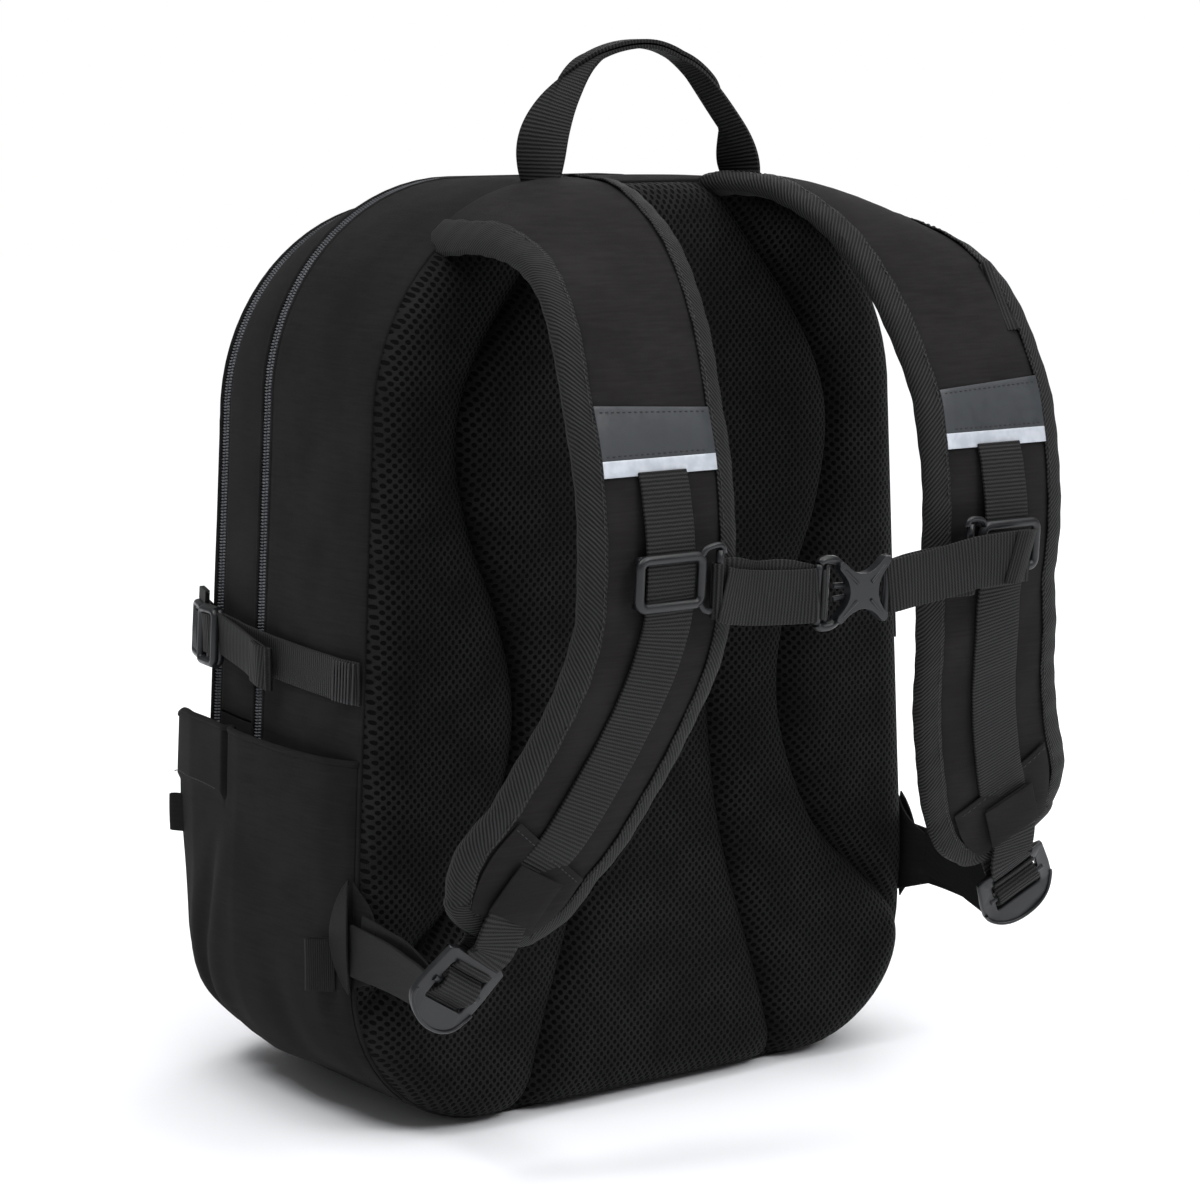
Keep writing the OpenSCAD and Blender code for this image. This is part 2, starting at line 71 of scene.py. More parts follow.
def spline(points, n):
    """n points spaced evenly along a smooth curve through the given points."""
    p = np.array(points, float)
    p = np.vstack([2 * p[0] - p[1], p, 2 * p[-1] - p[-2]])
    out = []
    for i in range(1, len(p) - 2):
        a, b, c, d = p[i - 1], p[i], p[i + 1], p[i + 2]
        for t in np.linspace(0, 1, 24, endpoint=False):
            out.append(0.5 * (2 * b + (c - a) * t + (2 * a - 5 * b + 4 * c - d) * t * t
                              + (3 * b - a - 3 * c + d) * t ** 3))
    out.append(p[-2])
    return even(np.array(out), n)


def arclen(path):
    """Distance along a path at each of its points."""
    return np.concatenate([[0], np.cumsum(np.linalg.norm(np.diff(path, axis=0), axis=1))])


def along(t, s, path):
    """Points of a path at the distances t, where s is its arclen."""
    return np.stack([np.interp(t, s, path[:, k]) for k in range(path.shape[1])], 1)


def even(path, n):
    s = arclen(path)
    return along(np.linspace(0, s[-1], n), s, path)


def new_mesh(name, verts, faces, material=None, uvs=None, smooth_shade=True):
    me = bpy.data.meshes.new(name)
    me.from_pydata([tuple(v) for v in verts], [], [tuple(f) for f in faces])
    if uvs is not None:
        layer = me.uv_layers.new(name="UVMap")
        idx = np.zeros(len(me.loops), int)
        me.loops.foreach_get("vertex_index", idx)
        layer.data.foreach_set("uv", np.asarray(uvs, float)[idx].ravel())
    me.validate()
    me.polygons.foreach_set("use_smooth", [smooth_shade] * len(me.polygons))
    o = bpy.data.objects.new(name, me)
    scene.collection.objects.link(o)
    if material is not None:
        me.materials.append(material)
    return o


def grid(name, P, material, UV=None, close_u=False, close_v=False, flip=False):
    """A sheet through an array of points P[i, j]; UV[i, j] is in metres."""
    P = np.asarray(P, float)
    nu, nv = P.shape[:2]
    verts = P.reshape(-1, 3)
    f = []
    for i in range(nu if close_u else nu - 1):
        for j in range(nv if close_v else nv - 1):
            a, b = i * nv + j, ((i + 1) % nu) * nv + j
            c, d = ((i + 1) % nu) * nv + (j + 1) % nv, i * nv + (j + 1) % nv
            f.append((a, d, c, b) if flip else (a, b, c, d))
    uv = None if UV is None else np.asarray(UV, float).reshape(-1, 2)
    return new_mesh(name, verts, f, material, uv)


def modifier(o, kind, **settings):
    m = o.modifiers.new(kind.title(), kind)
    for k, v in settings.items():
        setattr(m, k, v)
    return m


@contextmanager
def editing(o):
    """The object's mesh as a bmesh, written back at the end."""
    bm = bmesh.new()
    bm.from_mesh(o.data)
    yield bm
    bm.to_mesh(o.data)
    bm.free()


def fill(bm, numbers):
    """Closes a hole with one face through the vertices with these numbers."""
    bm.verts.ensure_lookup_table()
    bm.faces.new([bm.verts[i] for i in numbers])


def shade_smooth(o):
    for p in o.data.polygons:
        p.use_smooth = True


def fix_normals(o):
    with editing(o) as bm:
        bmesh.ops.recalc_face_normals(bm, faces=bm.faces)


def face_towards(o, direction):
    """Turns a sheet over if most of it faces the other way."""
    if sum(p.normal.dot(direction) * p.area for p in o.data.polygons) < 0:
        o.data.flip_normals()


def thicken(o, t, offset=-1.0):
    return modifier(o, "SOLIDIFY", thickness=t, offset=offset, use_even_offset=False)


def layer(name, rows, material, uv, t, w=0.0003):
    """A sheet of cloth or tape of thickness t with softened edges."""
    o = grid(name, rows, material, uv)
    thicken(o, t, 0.0)
    bevel(o, w, 2, 50)
    return o


def bevel(o, w, seg=2, angle=35):
    return modifier(o, "BEVEL", width=w, segments=seg, limit_method="ANGLE", angle_limit=radians(angle))


def join(name, objs):
    """One object out of several, with their modifiers applied."""
    dg = bpy.context.evaluated_depsgraph_get()
    bm = bmesh.new()
    mats = []
    me = bpy.data.meshes.new(name)
    for o in objs:
        dg.update()
        ev = o.evaluated_get(dg)
        m2 = bpy.data.meshes.new_from_object(ev)
        m2.transform(o.matrix_world)
        remap = []
        for m in m2.materials:
            if m not in mats:
                mats.append(m)
            remap.append(mats.index(m))
        if remap:
            for p in m2.polygons:
                p.material_index = remap[min(p.material_index, len(remap) - 1)]
        bm.from_mesh(m2)
        bpy.data.meshes.remove(m2)
    bm.to_mesh(me)
    bm.free()
    for m in mats:
        me.materials.append(m)
    for o in objs:
        bpy.data.objects.remove(o)
    out = bpy.data.objects.new(name, me)
    scene.collection.objects.link(out)
    return out


def mirrored(o, name):
    """The same piece on the other side of the bag."""
    dg = bpy.context.evaluated_depsgraph_get()
    dg.update()
    me = bpy.data.meshes.new_from_object(o.evaluated_get(dg))
    me.name = name
    me.transform(Matrix.Scale(-1, 4, (1, 0, 0)))
    me.flip_normals()
    m = bpy.data.objects.new(name, me)
    scene.collection.objects.link(m)
    return m


# ---- materials


class Nodes:
    """A short way to write a material's node graph."""

    def __init__(self, name):
        self.m = bpy.data.materials.new(name)
        self.m.use_nodes = True
        self.t = self.m.node_tree
        self.t.nodes.clear()
        self.out = self.t.nodes.new("ShaderNodeOutputMaterial")
        self.b = self.t.nodes.new("ShaderNodeBsdfPrincipled")
        self.t.links.new(self.b.outputs[0], self.out.inputs[0])

    def put(self, socket, value):
        if isinstance(value, bpy.types.NodeSocket):
            self.t.links.new(value, socket)
        elif value is not None:
            socket.default_value = value

    def node(self, kind, out=0, settings=None, **inputs):
        n = self.t.nodes.new("ShaderNode" + kind)
        for k, v in (settings or {}).items():
            setattr(n, k, v)
        for k, v in inputs.items():
            key = k.replace("_", " ")
            self.put(n.inputs[int(k[1:])] if k[0] == "i" and k[1:].isdigit() else n.inputs[key], v)
        return n.outputs[out]

    def math(self, op, a, b=0.0, c=0.0):
        return self.node("Math", settings={"operation": op}, i0=a, i1=b, i2=c)

    def mul(self, a, b):
        return self.math("MULTIPLY", a, b)

    def add(self, a, b):
        return self.math("ADD", a, b)

    def sub(self, a, b):
        return self.math("SUBTRACT", a, b)

    def sin(self, a):
        return self.math("SINE", a)

    def weave(self, a, b, k):
        """Two crossed sets of fine ribs."""
        return self.mul(self.sin(self.mul(self.add(a, b), k)), self.sin(self.mul(self.sub(a, b), k)))

    def ramp(self, x, a, b, lo=0.0, hi=1.0):
        return self.node("MapRange", settings={"interpolation_type": "SMOOTHSTEP"}, i0=x, i1=a, i2=b, i3=lo,
                         i4=hi)

    def noise(self, vec, scale, detail=3.0, rough=0.55):
        return self.node("TexNoise", Vector=vec, Scale=scale, Detail=detail, Roughness=rough)

    def coords(self, kind="Object"):
        n = self.t.nodes.new("ShaderNodeTexCoord")
        return n.outputs[kind]

    def split(self, vec):
        n = self.t.nodes.new("ShaderNodeSeparateXYZ")
        self.put(n.inputs[0], vec)
        return n.outputs[0], n.outputs[1], n.outputs[2]

    def mix(self, f, a, b):
        n = self.t.nodes.new("ShaderNodeMix")
        n.data_type = "RGBA"
        self.put(n.inputs[0], f)
        self.put(n.inputs[6], a)
        self.put(n.inputs[7], b)
        return n.outputs[2]

    def bump(self, height, strength=0.5, distance=0.0005, normal=None):
        n = self.t.nodes.new("ShaderNodeBump")
        self.put(n.inputs["Height"], height)
        n.inputs["Strength"].default_value = strength
        n.inputs["Distance"].default_value = distance
        if normal is not None:
            self.put(n.inputs["Normal"], normal)
        return n.outputs[0]

    def set(self, **inputs):
        for k, v in inputs.items():
            self.put(self.b.inputs[k.replace("_", " ")], v)
        return self.m


def rgb(r, g=None, b=None):
    g = r if g is None else g
    b = r if b is None else b
    return (r, g, b, 1)


def cloth_material(name, dark, light, weave=0.00055, sheen=0.01, rough=0.88):
    n = Nodes(name)
    v = n.coords()
    x, y, z = n.split(v)
    k = 2 * pi / weave
    a = n.sin(n.mul(z, k))
    h = n.add(x, y)
    b = n.sin(n.mul(h, k))
    w = n.mul(a, b)
    slub = n.noise(n.node("Mapping", i0=v, i3=(60, 60, 900)), 1.0, 2.0)
    soft = n.noise(v, 26.0, 4.0)
    tone = n.add(n.mul(soft, 0.6), n.mul(slub, 0.4))
    colour = n.mix(n.ramp(tone, 0.35, 0.68), dark, light)
    hgt = n.add(n.mul(w, 0.5), slub)
    nrm = n.bump(hgt, 0.35, 0.00018)
    nrm = n.bump(n.noise(v, 90.0, 3.0), 0.12, 0.0008, nrm)
    return n.set(Base_Color=colour, Roughness=rough, Normal=nrm, Sheen_Weight=sheen, Sheen_Roughness=0.55,
                 Specular_IOR_Level=0.08)


def mesh_material(name):
    """Spacer mesh: staggered round holes in a dark knit, laid out over x and z."""
    n = Nodes(name)
    v = n.coords()
    x, y, z = n.split(v)
    px, pz = 0.004, 0.0046

    def lattice(ox, oz):
        fx = n.sub(n.math("FRACT", n.add(n.math("DIVIDE", x, px), ox)), 0.5)
        fz = n.sub(n.math("FRACT", n.add(n.math("DIVIDE", z, pz), oz)), 0.5)
        fx = n.mul(fx, px * 1000)
        fz = n.mul(fz, pz * 1000 * 0.82)
        return n.math("SQRT", n.add(n.mul(fx, fx), n.mul(fz, fz)))

    d = n.math("MINIMUM", lattice(0.0, 0.0), lattice(0.5, 0.5))
    solid = n.ramp(d, 0.72, 1.12)
    k = 2 * pi / 0.0007
    knit = n.weave(x, z, k)
    soft = n.noise(v, 40.0, 3.0)
    yarn = n.mix(n.ramp(soft, 0.3, 0.7), rgb(0.004, 0.004, 0.0042), rgb(0.0092, 0.0092, 0.0094))
    # The holes are painted near-black: painted shade in the hollows under the knit, as the holes are only
    # drawn in the colour and the bump. The yarn's own tone varies at random.
    colour = n.mix(solid, rgb(0.0004, 0.0004, 0.0005), yarn)
    h = n.add(solid, n.mul(knit, 0.07))
    nrm = n.bump(h, 0.75, 0.0011)
    return n.set(Base_Color=colour, Roughness=n.ramp(solid, 0, 1, 0.95, 0.66), Normal=nrm,
                 Sheen_Weight=0.006, Sheen_Roughness=0.5, Specular_IOR_Level=0.1)


def webbing_material(name, pitch=0.0018, twill=False, lo=0.0022, hi=0.034, rough=0.7):
    """Woven tape from UVs in metres: u across and v along."""
    n = Nodes(name)
    u, v, _ = n.split(n.coords("UV"))
    tau = 2 * pi
    if twill:
        diag = n.add(n.mul(v, tau / 0.0022), n.mul(u, tau / 0.0022))
        ribs = n.sin(diag)
        fine = n.sin(n.mul(n.sub(v, u), tau / 0.0008))
        h = n.add(n.mul(ribs, 0.5), n.mul(fine, 0.12))
    else:
        # broad ribs across the tape, broken into yarns along it
        col = n.sin(n.mul(u, tau / 0.0014))
        wander = n.mul(n.noise(n.coords("UV"), 300.0, 2.0), 1.6)
        ribs = n.sin(n.add(n.mul(v, tau / pitch), n.add(n.mul(col, 0.35), wander)))
        h = n.add(n.mul(ribs, 0.5), n.mul(n.math("ABSOLUTE", col), 0.2))
    soft = n.noise(n.coords(), 55.0, 3.0)
    # Rib crests are painted lighter and the grooves darker, from the same ribs as the bump: painted light
    # and shade on the weave, varied by a random tone.
    edge = n.ramp(ribs, -0.55, 0.75)
    t = n.mul(edge, n.add(n.mul(soft, 0.5), 0.6))
    colour = n.mix(t, rgb(lo), rgb(hi, hi, hi * 1.02))
    nrm = n.bump(h, 0.8, 0.0004)
    return n.set(Base_Color=colour, Roughness=rough, Normal=nrm, Sheen_Weight=0.012, Sheen_Roughness=0.45,
                 Specular_IOR_Level=0.2)


def plastic_material(name, colour, rough=0.42, grain=0.16, metallic=0.0):
    n = Nodes(name)
    v = n.coords()
    fine = n.noise(v, 1400.0, 2.0)
    wear = n.noise(v, 120.0, 4.0)
    c = n.mix(n.ramp(wear, 0.35, 0.75), rgb(*colour), rgb(*(min(1, k * 1.35) for k in colour)))
    r = n.ramp(wear, 0.3, 0.7, rough - 0.06, rough + 0.08)
    return n.set(Base_Color=c, Roughness=r, Normal=n.bump(fine, grain, 0.00006), Specular_IOR_Level=0.4,
                 Metallic=metallic)


def film_material(name, colour, rough=0.5):
    n = Nodes(name)
    v = n.coords()
    c = n.mix(n.ramp(n.noise(v, 60.0, 3.0), 0.3, 0.7), rgb(*colour), rgb(*(k * 1.25 for k in colour)))
    return n.set(Base_Color=c, Roughness=n.ramp(n.noise(v, 200.0, 2.0), 0.3, 0.7, rough - 0.05,
            rough + 0.1), Normal=n.bump(n.noise(v, 700.0, 2.0), 0.15, 0.0001))


def reflector_material(name):
    n = Nodes(name)
    v = n.coords()
    x, y, z = n.split(v)
    k = 2 * pi / 0.0008
    lat = n.weave(x, z, k)
    c = n.mix(n.ramp(n.noise(v, 150.0, 2.0), 0.3, 0.7), rgb(0.42, 0.45, 0.5), rgb(0.54, 0.57, 0.62))
    return n.set(Base_Color=c, Roughness=0.38, Metallic=0.25, Normal=n.bump(lat, 0.25, 0.0001))


MAT = {
    "cloth": cloth_material("cloth", rgb(0.0074, 0.0069, 0.0069), rgb(0.0122, 0.0115, 0.0116)),
    # The strap cloth is the bag's fabric painted about 1.4 times lighter: painted light, for the straps'
    # faces catching more of the lamps than the bag's sides.
    "strap_cloth": cloth_material("strap_cloth", rgb(0.0105, 0.0096, 0.0098), rgb(0.0168, 0.0156, 0.0159)),
    "lining": cloth_material("lining", rgb(0.05, 0.05, 0.055), rgb(0.075, 0.075, 0.08), 0.0007),
    "mesh": mesh_material("spacer_mesh"),
    "mesh_strap": mesh_material("strap_mesh"),
    "webbing": webbing_material("webbing", hi=0.021),
    "fine_web": webbing_material("fine_webbing", pitch=0.0009, lo=0.0022, hi=0.0085),
    "twill": webbing_material("binding_twill", twill=True, lo=0.001, hi=0.024),
    "tape": webbing_material("zip_tape", pitch=0.001, lo=0.0015, hi=0.01),
    "plastic": plastic_material("buckle_plastic", (0.0065, 0.007, 0.0082), 0.36),
    "patch": film_material("patch_film", (0.0185, 0.0215, 0.0255)),
    "reflector": reflector_material("reflector"),
    # The coil's grey is a painted highlight: its colour is raised far above the black cloth to stand in for
    # the bright glints on the teeth.
    "coil": plastic_material("zip_coil", (0.09, 0.094, 0.102), 0.2, 0.03),
    "metal": plastic_material("slider_metal", (0.045, 0.046, 0.05), 0.3, 0.05, 0.7),
    "thread": plastic_material("thread", (0.016, 0.016, 0.017), 0.6, 0.3),
    "dark_thread": plastic_material("dark_thread", (0.009, 0.009, 0.01), 0.6, 0.3),
    "board": plastic_material("board", (0.45, 0.45, 0.43), 0.5, 0.1),
}

# ---- the bag's shape

BACK_Y, ZIP1, ZIP2, FRONT = -0.09, 0.004, 0.054, 0.088
HINGE_Z = 0.182


DEPTHS = [BACK_Y, ZIP1, ZIP2, 0.076, FRONT]
SIZES = {"half width low": [0.165, 0.1645, 0.1585, 0.151, 0.146],
         "half width high": [0.152, 0.1505, 0.144, 0.136, 0.13], "top": [0.44, 0.4395, 0.426, 0.409, 0.397],
         "bottom": [0.000, 0.000, 0.001, 0.005, 0.011], "bottom radius": [0.072, 0.072, 0.07, 0.067, 0.064],
         "top radius": [0.108, 0.106, 0.102, 0.097, 0.092]}


def section(y):
    """The outline's six sizes at depth y, in the order of SIZES."""
    return [np.interp(y, DEPTHS, values) for values in SIZES.values()]


def ring(y, inset=0.0, n=(10, 14, 26, 18, 12)):
    """Points round the outline at depth y, from the bottom middle up the right, over the top
    and down the left, closed. n counts the steps on each stretch of one side."""
    hb, ht, top, bot, rb, rt = section(y)
    hb, ht, top, bot = hb - inset, ht - inset, top - inset, bot + inset
    rb, rt = max(rb - inset, 0.004), max(rt - inset, 0.004)
    pts = []
    for i in range(n[0]):
        pts.append((i / n[0] * (hb - rb), bot))
    for i in range(n[1]):
        a = -pi / 2 + pi / 2 * i / n[1]
        pts.append((hb - rb + rb * cos(a), bot + rb + rb * sin(a)))
    for i in range(n[2]):
        t = i / n[2]
        pts.append((hb + (ht - hb) * t, bot + rb + (top - rt - bot - rb) * t))
    for i in range(n[3]):
        a = pi / 2 * i / n[3]
        pts.append((ht - rt + rt * cos(a), top - rt + rt * sin(a)))
    for i in range(n[4]):
        pts.append(((ht - rt) * (1 - i / n[4]), top))
    pts.append((0, top))
    right = np.array(pts)
    left = right[1:-1][::-1] * vec(-1, 1)
    return np.vstack([right, left])


def outward(P):
    """Outward direction in x and z round a ring."""
    d = np.roll(P, -1, 0) - np.roll(P, 1, 0)
    return unit(np.stack([d[:, 1], -d[:, 0]], 1))


rng = np.random.default_rng(7)
FOLDS = [(rng.uniform(0, 6.28), rng.uniform(14, 34), rng.uniform(10, 30), rng.uniform(-8, 8))
         for _ in range(7)]


def creases(x, y, z, amount):
    """Slow, uneven swelling of slack cloth, in metres."""
    h = 0
    for ph, a, b, c in FOLDS:
        h = h + np.sin(ph + a * y + b * z + c * x + 1.3 * np.sin(ph + 18 * z))
    return amount * h / len(FOLDS) * 1.6

# ---- cloth shells


def front_rings():
    """Depth and inset of each ring from the front zip to the rounded front edge."""
    out = [(y, 0.0) for y in np.linspace(ZIP2 + 0.0045, 0.07, 6)]
    for a in np.linspace(12, 90, 7):
        out.append((0.072 + 0.014 * sin(radians(a)), 0.013 * (1 - cos(radians(a)))))
    return out


def shell_grid(name, ys, insets=None, amount=0.0012, crown=0.0, cap=False):
    rows = []
    for k, y in enumerate(ys):
        ins = 0 if insets is None else insets[k]
        P = ring(y, ins)
        n = outward(P)
        t = (y - ys[0]) / (ys[-1] - ys[0])
        up = smooth(0.0, 0.05, P[:, 1])
        d = creases(P[:, 0], y, P[:, 1], amount) * np.sin(np.pi * t) ** 0.6 * (0.25 + 0.75 * up)
        d = d + crown * np.sin(np.pi * t) ** 0.7 * up
        Q = P + n * d[:, None]
        rows.append(np.stack([Q[:, 0], np.full(len(Q), y), Q[:, 1]], 1))
    if cap:
        last = rows[-1]
        mid = vec(0, last[0, 1], 0.205)
        for k in np.linspace(0.93, 0.04, 16):
            r = mid + (last - mid) * vec(k, 1, k)
            wave = creases(r[:, 0], 0.3, r[:, 2], 0.0016) * (1 - k)
            r[:, 1] += 0.003 * (1 - k * k) + np.maximum(wave, -0.001)
            rows.append(r)
    P = np.array(rows)
    o = grid(name, P, None, close_v=True)
    if cap:
        n = len(rows[0])
        with editing(o) as bm:
            fill(bm, [(len(rows) - 1) * n + i for i in range(n)])
        shade_smooth(o)
    return o


def cut(o, z, keep_above, gap=0.0004):
    """Keeps only what is above or below a height."""
    zc = z + gap if keep_above else z - gap
    with editing(o) as bm:
        bmesh.ops.bisect_plane(bm, geom=bm.verts[:] + bm.edges[:] + bm.faces[:], plane_co=(0, 0, zc),
                               plane_no=(0, 0, 1), clear_inner=keep_above, clear_outer=not keep_above)


def outward_normals(o, centre=(0, 0, 0.2)):
    """Turns every face away from the middle of the bag."""
    c = Vector(centre)
    s = sum(1 if (p.center - c).dot(p.normal) > 0 else -1 for p in o.data.polygons)
    if s < 0:
        o.data.flip_normals()
    return o


EDGE = 0.0046
ys_rear = list(np.linspace(BACK_Y, ZIP1 - EDGE, 22))
rear = outward_normals(shell_grid("rear_gusset", ys_rear, amount=0.0016, crown=0.0022))
rear.data.materials.append(MAT["cloth"])
thicken(rear, 0.0026)
bevel(rear, 0.0009, 2)

mid_ys = list(np.linspace(ZIP1 + EDGE, ZIP2 - EDGE, 12))
fr = front_rings()


def section_shell(name, lower):
    out = []
    for nm, ys, ins, cap, crown in (("mid", mid_ys, None, False, 0.0014),
                                    ("front", [a for a, b in fr], [b for a, b in fr], True, 0.0)):
        o = shell_grid(name + nm, ys, ins, 0.0009, crown, cap)
        cut(o, HINGE_Z, not lower)
        outward_normals(o)
        o.data.materials.append(MAT["cloth"])
        thicken(o, 0.0026)
        bevel(o, 0.0008, 2)
        out.append(o)
    return out


tub_mid, tub_front = section_shell("tub_", True)
lid_mid, lid_front = section_shell("lid_", False)
rear_shell = join("rear_shell_cloth", [rear, tub_mid, tub_front])
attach(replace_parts(rear_shell, "rear_shell"), "bag_body")
lid_mid.name = "main_section_cloth"
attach(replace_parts(lid_mid, "main_lid"), "main_section")
lid_front.name = "front_section_cloth"
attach(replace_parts(lid_front, "front_panel"), "front_section")

# ---- zips


ZIP_FOOT = 0.105


def ring_path(y, step=0.0005):
    """The outline at a depth, from low on the right over the top to low on the left, densely."""
    P = ring(y)
    n = outward(P)
    keep = P[:, 1] > ZIP_FOOT
    Q, n = P[keep], n[keep]
    s = arclen(Q)
    t = np.arange(0, s[-1], step)
    return along(t, s, Q), unit(along(t, s, n))


def teeth(name, y, side, zlo, zhi, phase):
    """One half of a coil: small rounded links across the zip's middle line."""
    P, N = ring_path(y)
    pitch = 3
    verts, faces = [], []
    prof = [(-0.00062, 0.0), (-0.0005, 0.0014), (0.0, 0.002), (0.0005, 0.0014), (0.00062, 0.0)]
    for k in range(phase, len(P) - 2, pitch):
        if not zlo <= P[k, 1] < zhi:
            continue
        t = unit(P[k + 1] - P[k - 1]) if k else unit(P[1] - P[0])
        c, nn = P[k], N[k]
        base = len(verts)
        for yy, sc in ((0.0002, 0.75), (0.0014, 1.0), (0.0028, 0.8)):
            for a, h in prof:
                q = c + t * a * sc + nn * (h * sc - 0.0014)
                verts.append((q[0], y + side * yy, q[1]))
        for r in range(2):
            for j in range(4):
                a = base + r * 5 + j
                f = (a, a + 1, a + 6, a + 5)
                faces.append(f if side > 0 else f[::-1])
        f = tuple(base + j for j in range(5))
        faces.append(f[::-1] if side > 0 else f)
        f = tuple(base + 10 + j for j in range(5))
        faces.append(f if side > 0 else f[::-1])
    return new_mesh(name, verts, faces, MAT["coil"], smooth_shade=False)


def zip_tape(name, y, side, zlo, zhi):
    """The tape beside the coil, dropping a little, with the rolled edge of the cloth."""
    P, N = ring_path(y, 0.003)
    ok = (P[:, 1] >= zlo - 0.001) & (P[:, 1] < zhi)
    idx = np.where(ok)[0]
    runs = np.split(idx, np.where(np.diff(idx) > 1)[0] + 1)
    objs = []
    for r in runs:
        if len(r) < 2:
            continue
        rows, uv = [], []
        for k in r:
            row = []
            for yy, h in ((0.0011, -0.0022), (0.0026, -0.002), (0.0045, -0.0016), (0.0062, -0.0014)):
                q = P[k] + N[k] * h
                row.append((q[0], y + side * yy, q[1]))
            rows.append(row)
            uv.append([(j * 0.0017, k * 0.003) for j in range(4)])
        o = grid(name, rows, MAT["tape"], uv, flip=side > 0)
        thicken(o, 0.0006, 0.0)
        objs.append(o)
        # the rolled edge: a thin piping along the cloth
        verts, faces, n = [], [], 8
        for k in r:
            for a in range(n):
                t = 2 * pi * a / n
                q = P[k] + N[k] * (-0.0004 + 0.0012 * sin(t))
                verts.append((q[0], y + side * (0.0047 + 0.0012 * cos(t)), q[1]))
        m = len(r)
        for i in range(m - 1):
            for a in range(n):
                b = (a + 1) % n
                faces.append((i * n + a, i * n + b, (i + 1) * n + b, (i + 1) * n + a))
        objs.append(new_mesh(name + "p", verts, faces, MAT["cloth"]))
    return join(name, objs)


def half_zip(label, y, side, zlo, zhi, phase, body, node=None):
    a = teeth(label + "_coil", y, side, zlo, zhi, phase)
    b = zip_tape(label + "_tape", y, side, zlo, zhi)
    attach(a, body)
    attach(b, body)
    if node:
        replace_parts(a, node)


half_zip("main_zip_rear", ZIP1, -1, 0.11, 1.0, 1, "bag_body", "zip_coils_bag")
half_zip("main_zip_lid", ZIP1, 1, HINGE_Z, 1.0, 2, "main_section", "main_coil_lid")
half_zip("main_zip_foot", ZIP1, 1, 0.11, HINGE_Z, 2, "bag_body")
half_zip("front_zip_lid", ZIP2, -1, HINGE_Z, 1.0, 1, "main_section", "front_coil_lid")
half_zip("front_zip_panel", ZIP2, 1, HINGE_Z, 1.0, 2, "front_section", "front_coil_panel")
half_zip("front_zip_foot_a", ZIP2, -1, 0.11, HINGE_Z, 1, "bag_body")
half_zip("front_zip_foot_b", ZIP2, 1, 0.11, HINGE_Z, 2, "bag_body")

# ---- padded back

SEAM_B = [(-0.01, 0.19), (0.05, 0.168), (0.072, 0.152), (0.09, 0.133), (0.118, 0.104), (0.162, 0.083),
          (0.2, 0.078), (0.241, 0.087), (0.28, 0.102), (0.318, 0.109), (0.35, 0.103), (0.386, 0.082),
          (0.422, 0.052), (0.45, 0.034)]
SEAM_A = [(-0.01, 0.08), (0.04, 0.067), (0.08, 0.054), (0.124, 0.041), (0.17, 0.034), (0.226, 0.031),
          (0.3, 0.03), (0.45, 0.03)]


def table(points, z):
    p = spline([(a, b, 0) for a, b in points], 200)
    o = np.argsort(p[:, 0])
    return np.interp(z, p[o, 0], p[o, 1])


def back_height(x, z):
    """How far the padding stands out from the back seam at a point."""
    P = ring(BACK_Y, 0.001)
    seg = np.vstack([P, P[:1]])
    d = np.full(x.shape, 9.0)
    for a, b in zip(seg[:-1], seg[1:]):
        ab = b - a
        t = np.clip(((x - a[0]) * ab[0] + (z - a[1]) * ab[1]) / max(ab @ ab, 1e-12), 0, 1)
        d = np.minimum(d, np.hypot(x - a[0] - t * ab[0], z - a[1] - t * ab[1]))
    r = 0.019
    e = np.clip(d / r, 0, 1)
    ax = np.abs(x)
    B, A = table(SEAM_B, z), table(SEAM_A, z)
    dz = 0.004
    kb = 1 / np.sqrt(1 + ((table(SEAM_B, z + dz) - table(SEAM_B, z - dz)) / (2 * dz)) ** 2)
    ka = 1 / np.sqrt(1 + ((table(SEAM_A, z + dz) - table(SEAM_A, z - dz)) / (2 * dz)) ** 2)
    db, da = np.abs(ax - B) * kb, np.abs(ax - A) * ka
    side = smooth(-0.004, 0.004, ax - B)
    H = 0.0185 - 0.0035 * side
    h = H * np.sqrt(np.clip(1 - (1 - e) ** 2, 0, 1))
    fade = smooth(0.262, 0.225, z)
    crease_b = 0.01 * np.exp(-(db / 0.0052) ** 1.15) + 0.0024 * np.exp(-(db / 0.016) ** 2)
    crease_a = (0.0075 * np.exp(-(da / 0.0046) ** 1.15) + 0.002 * np.exp(-(da / 0.014) ** 2)) * fade
    h = h - np.minimum(crease_b, h * 0.75) - np.minimum(crease_a, h * 0.75)
    h = h + 0.0011 * np.sin(21 * x + 3) * np.sin(17 * z + 1) * e
    return h


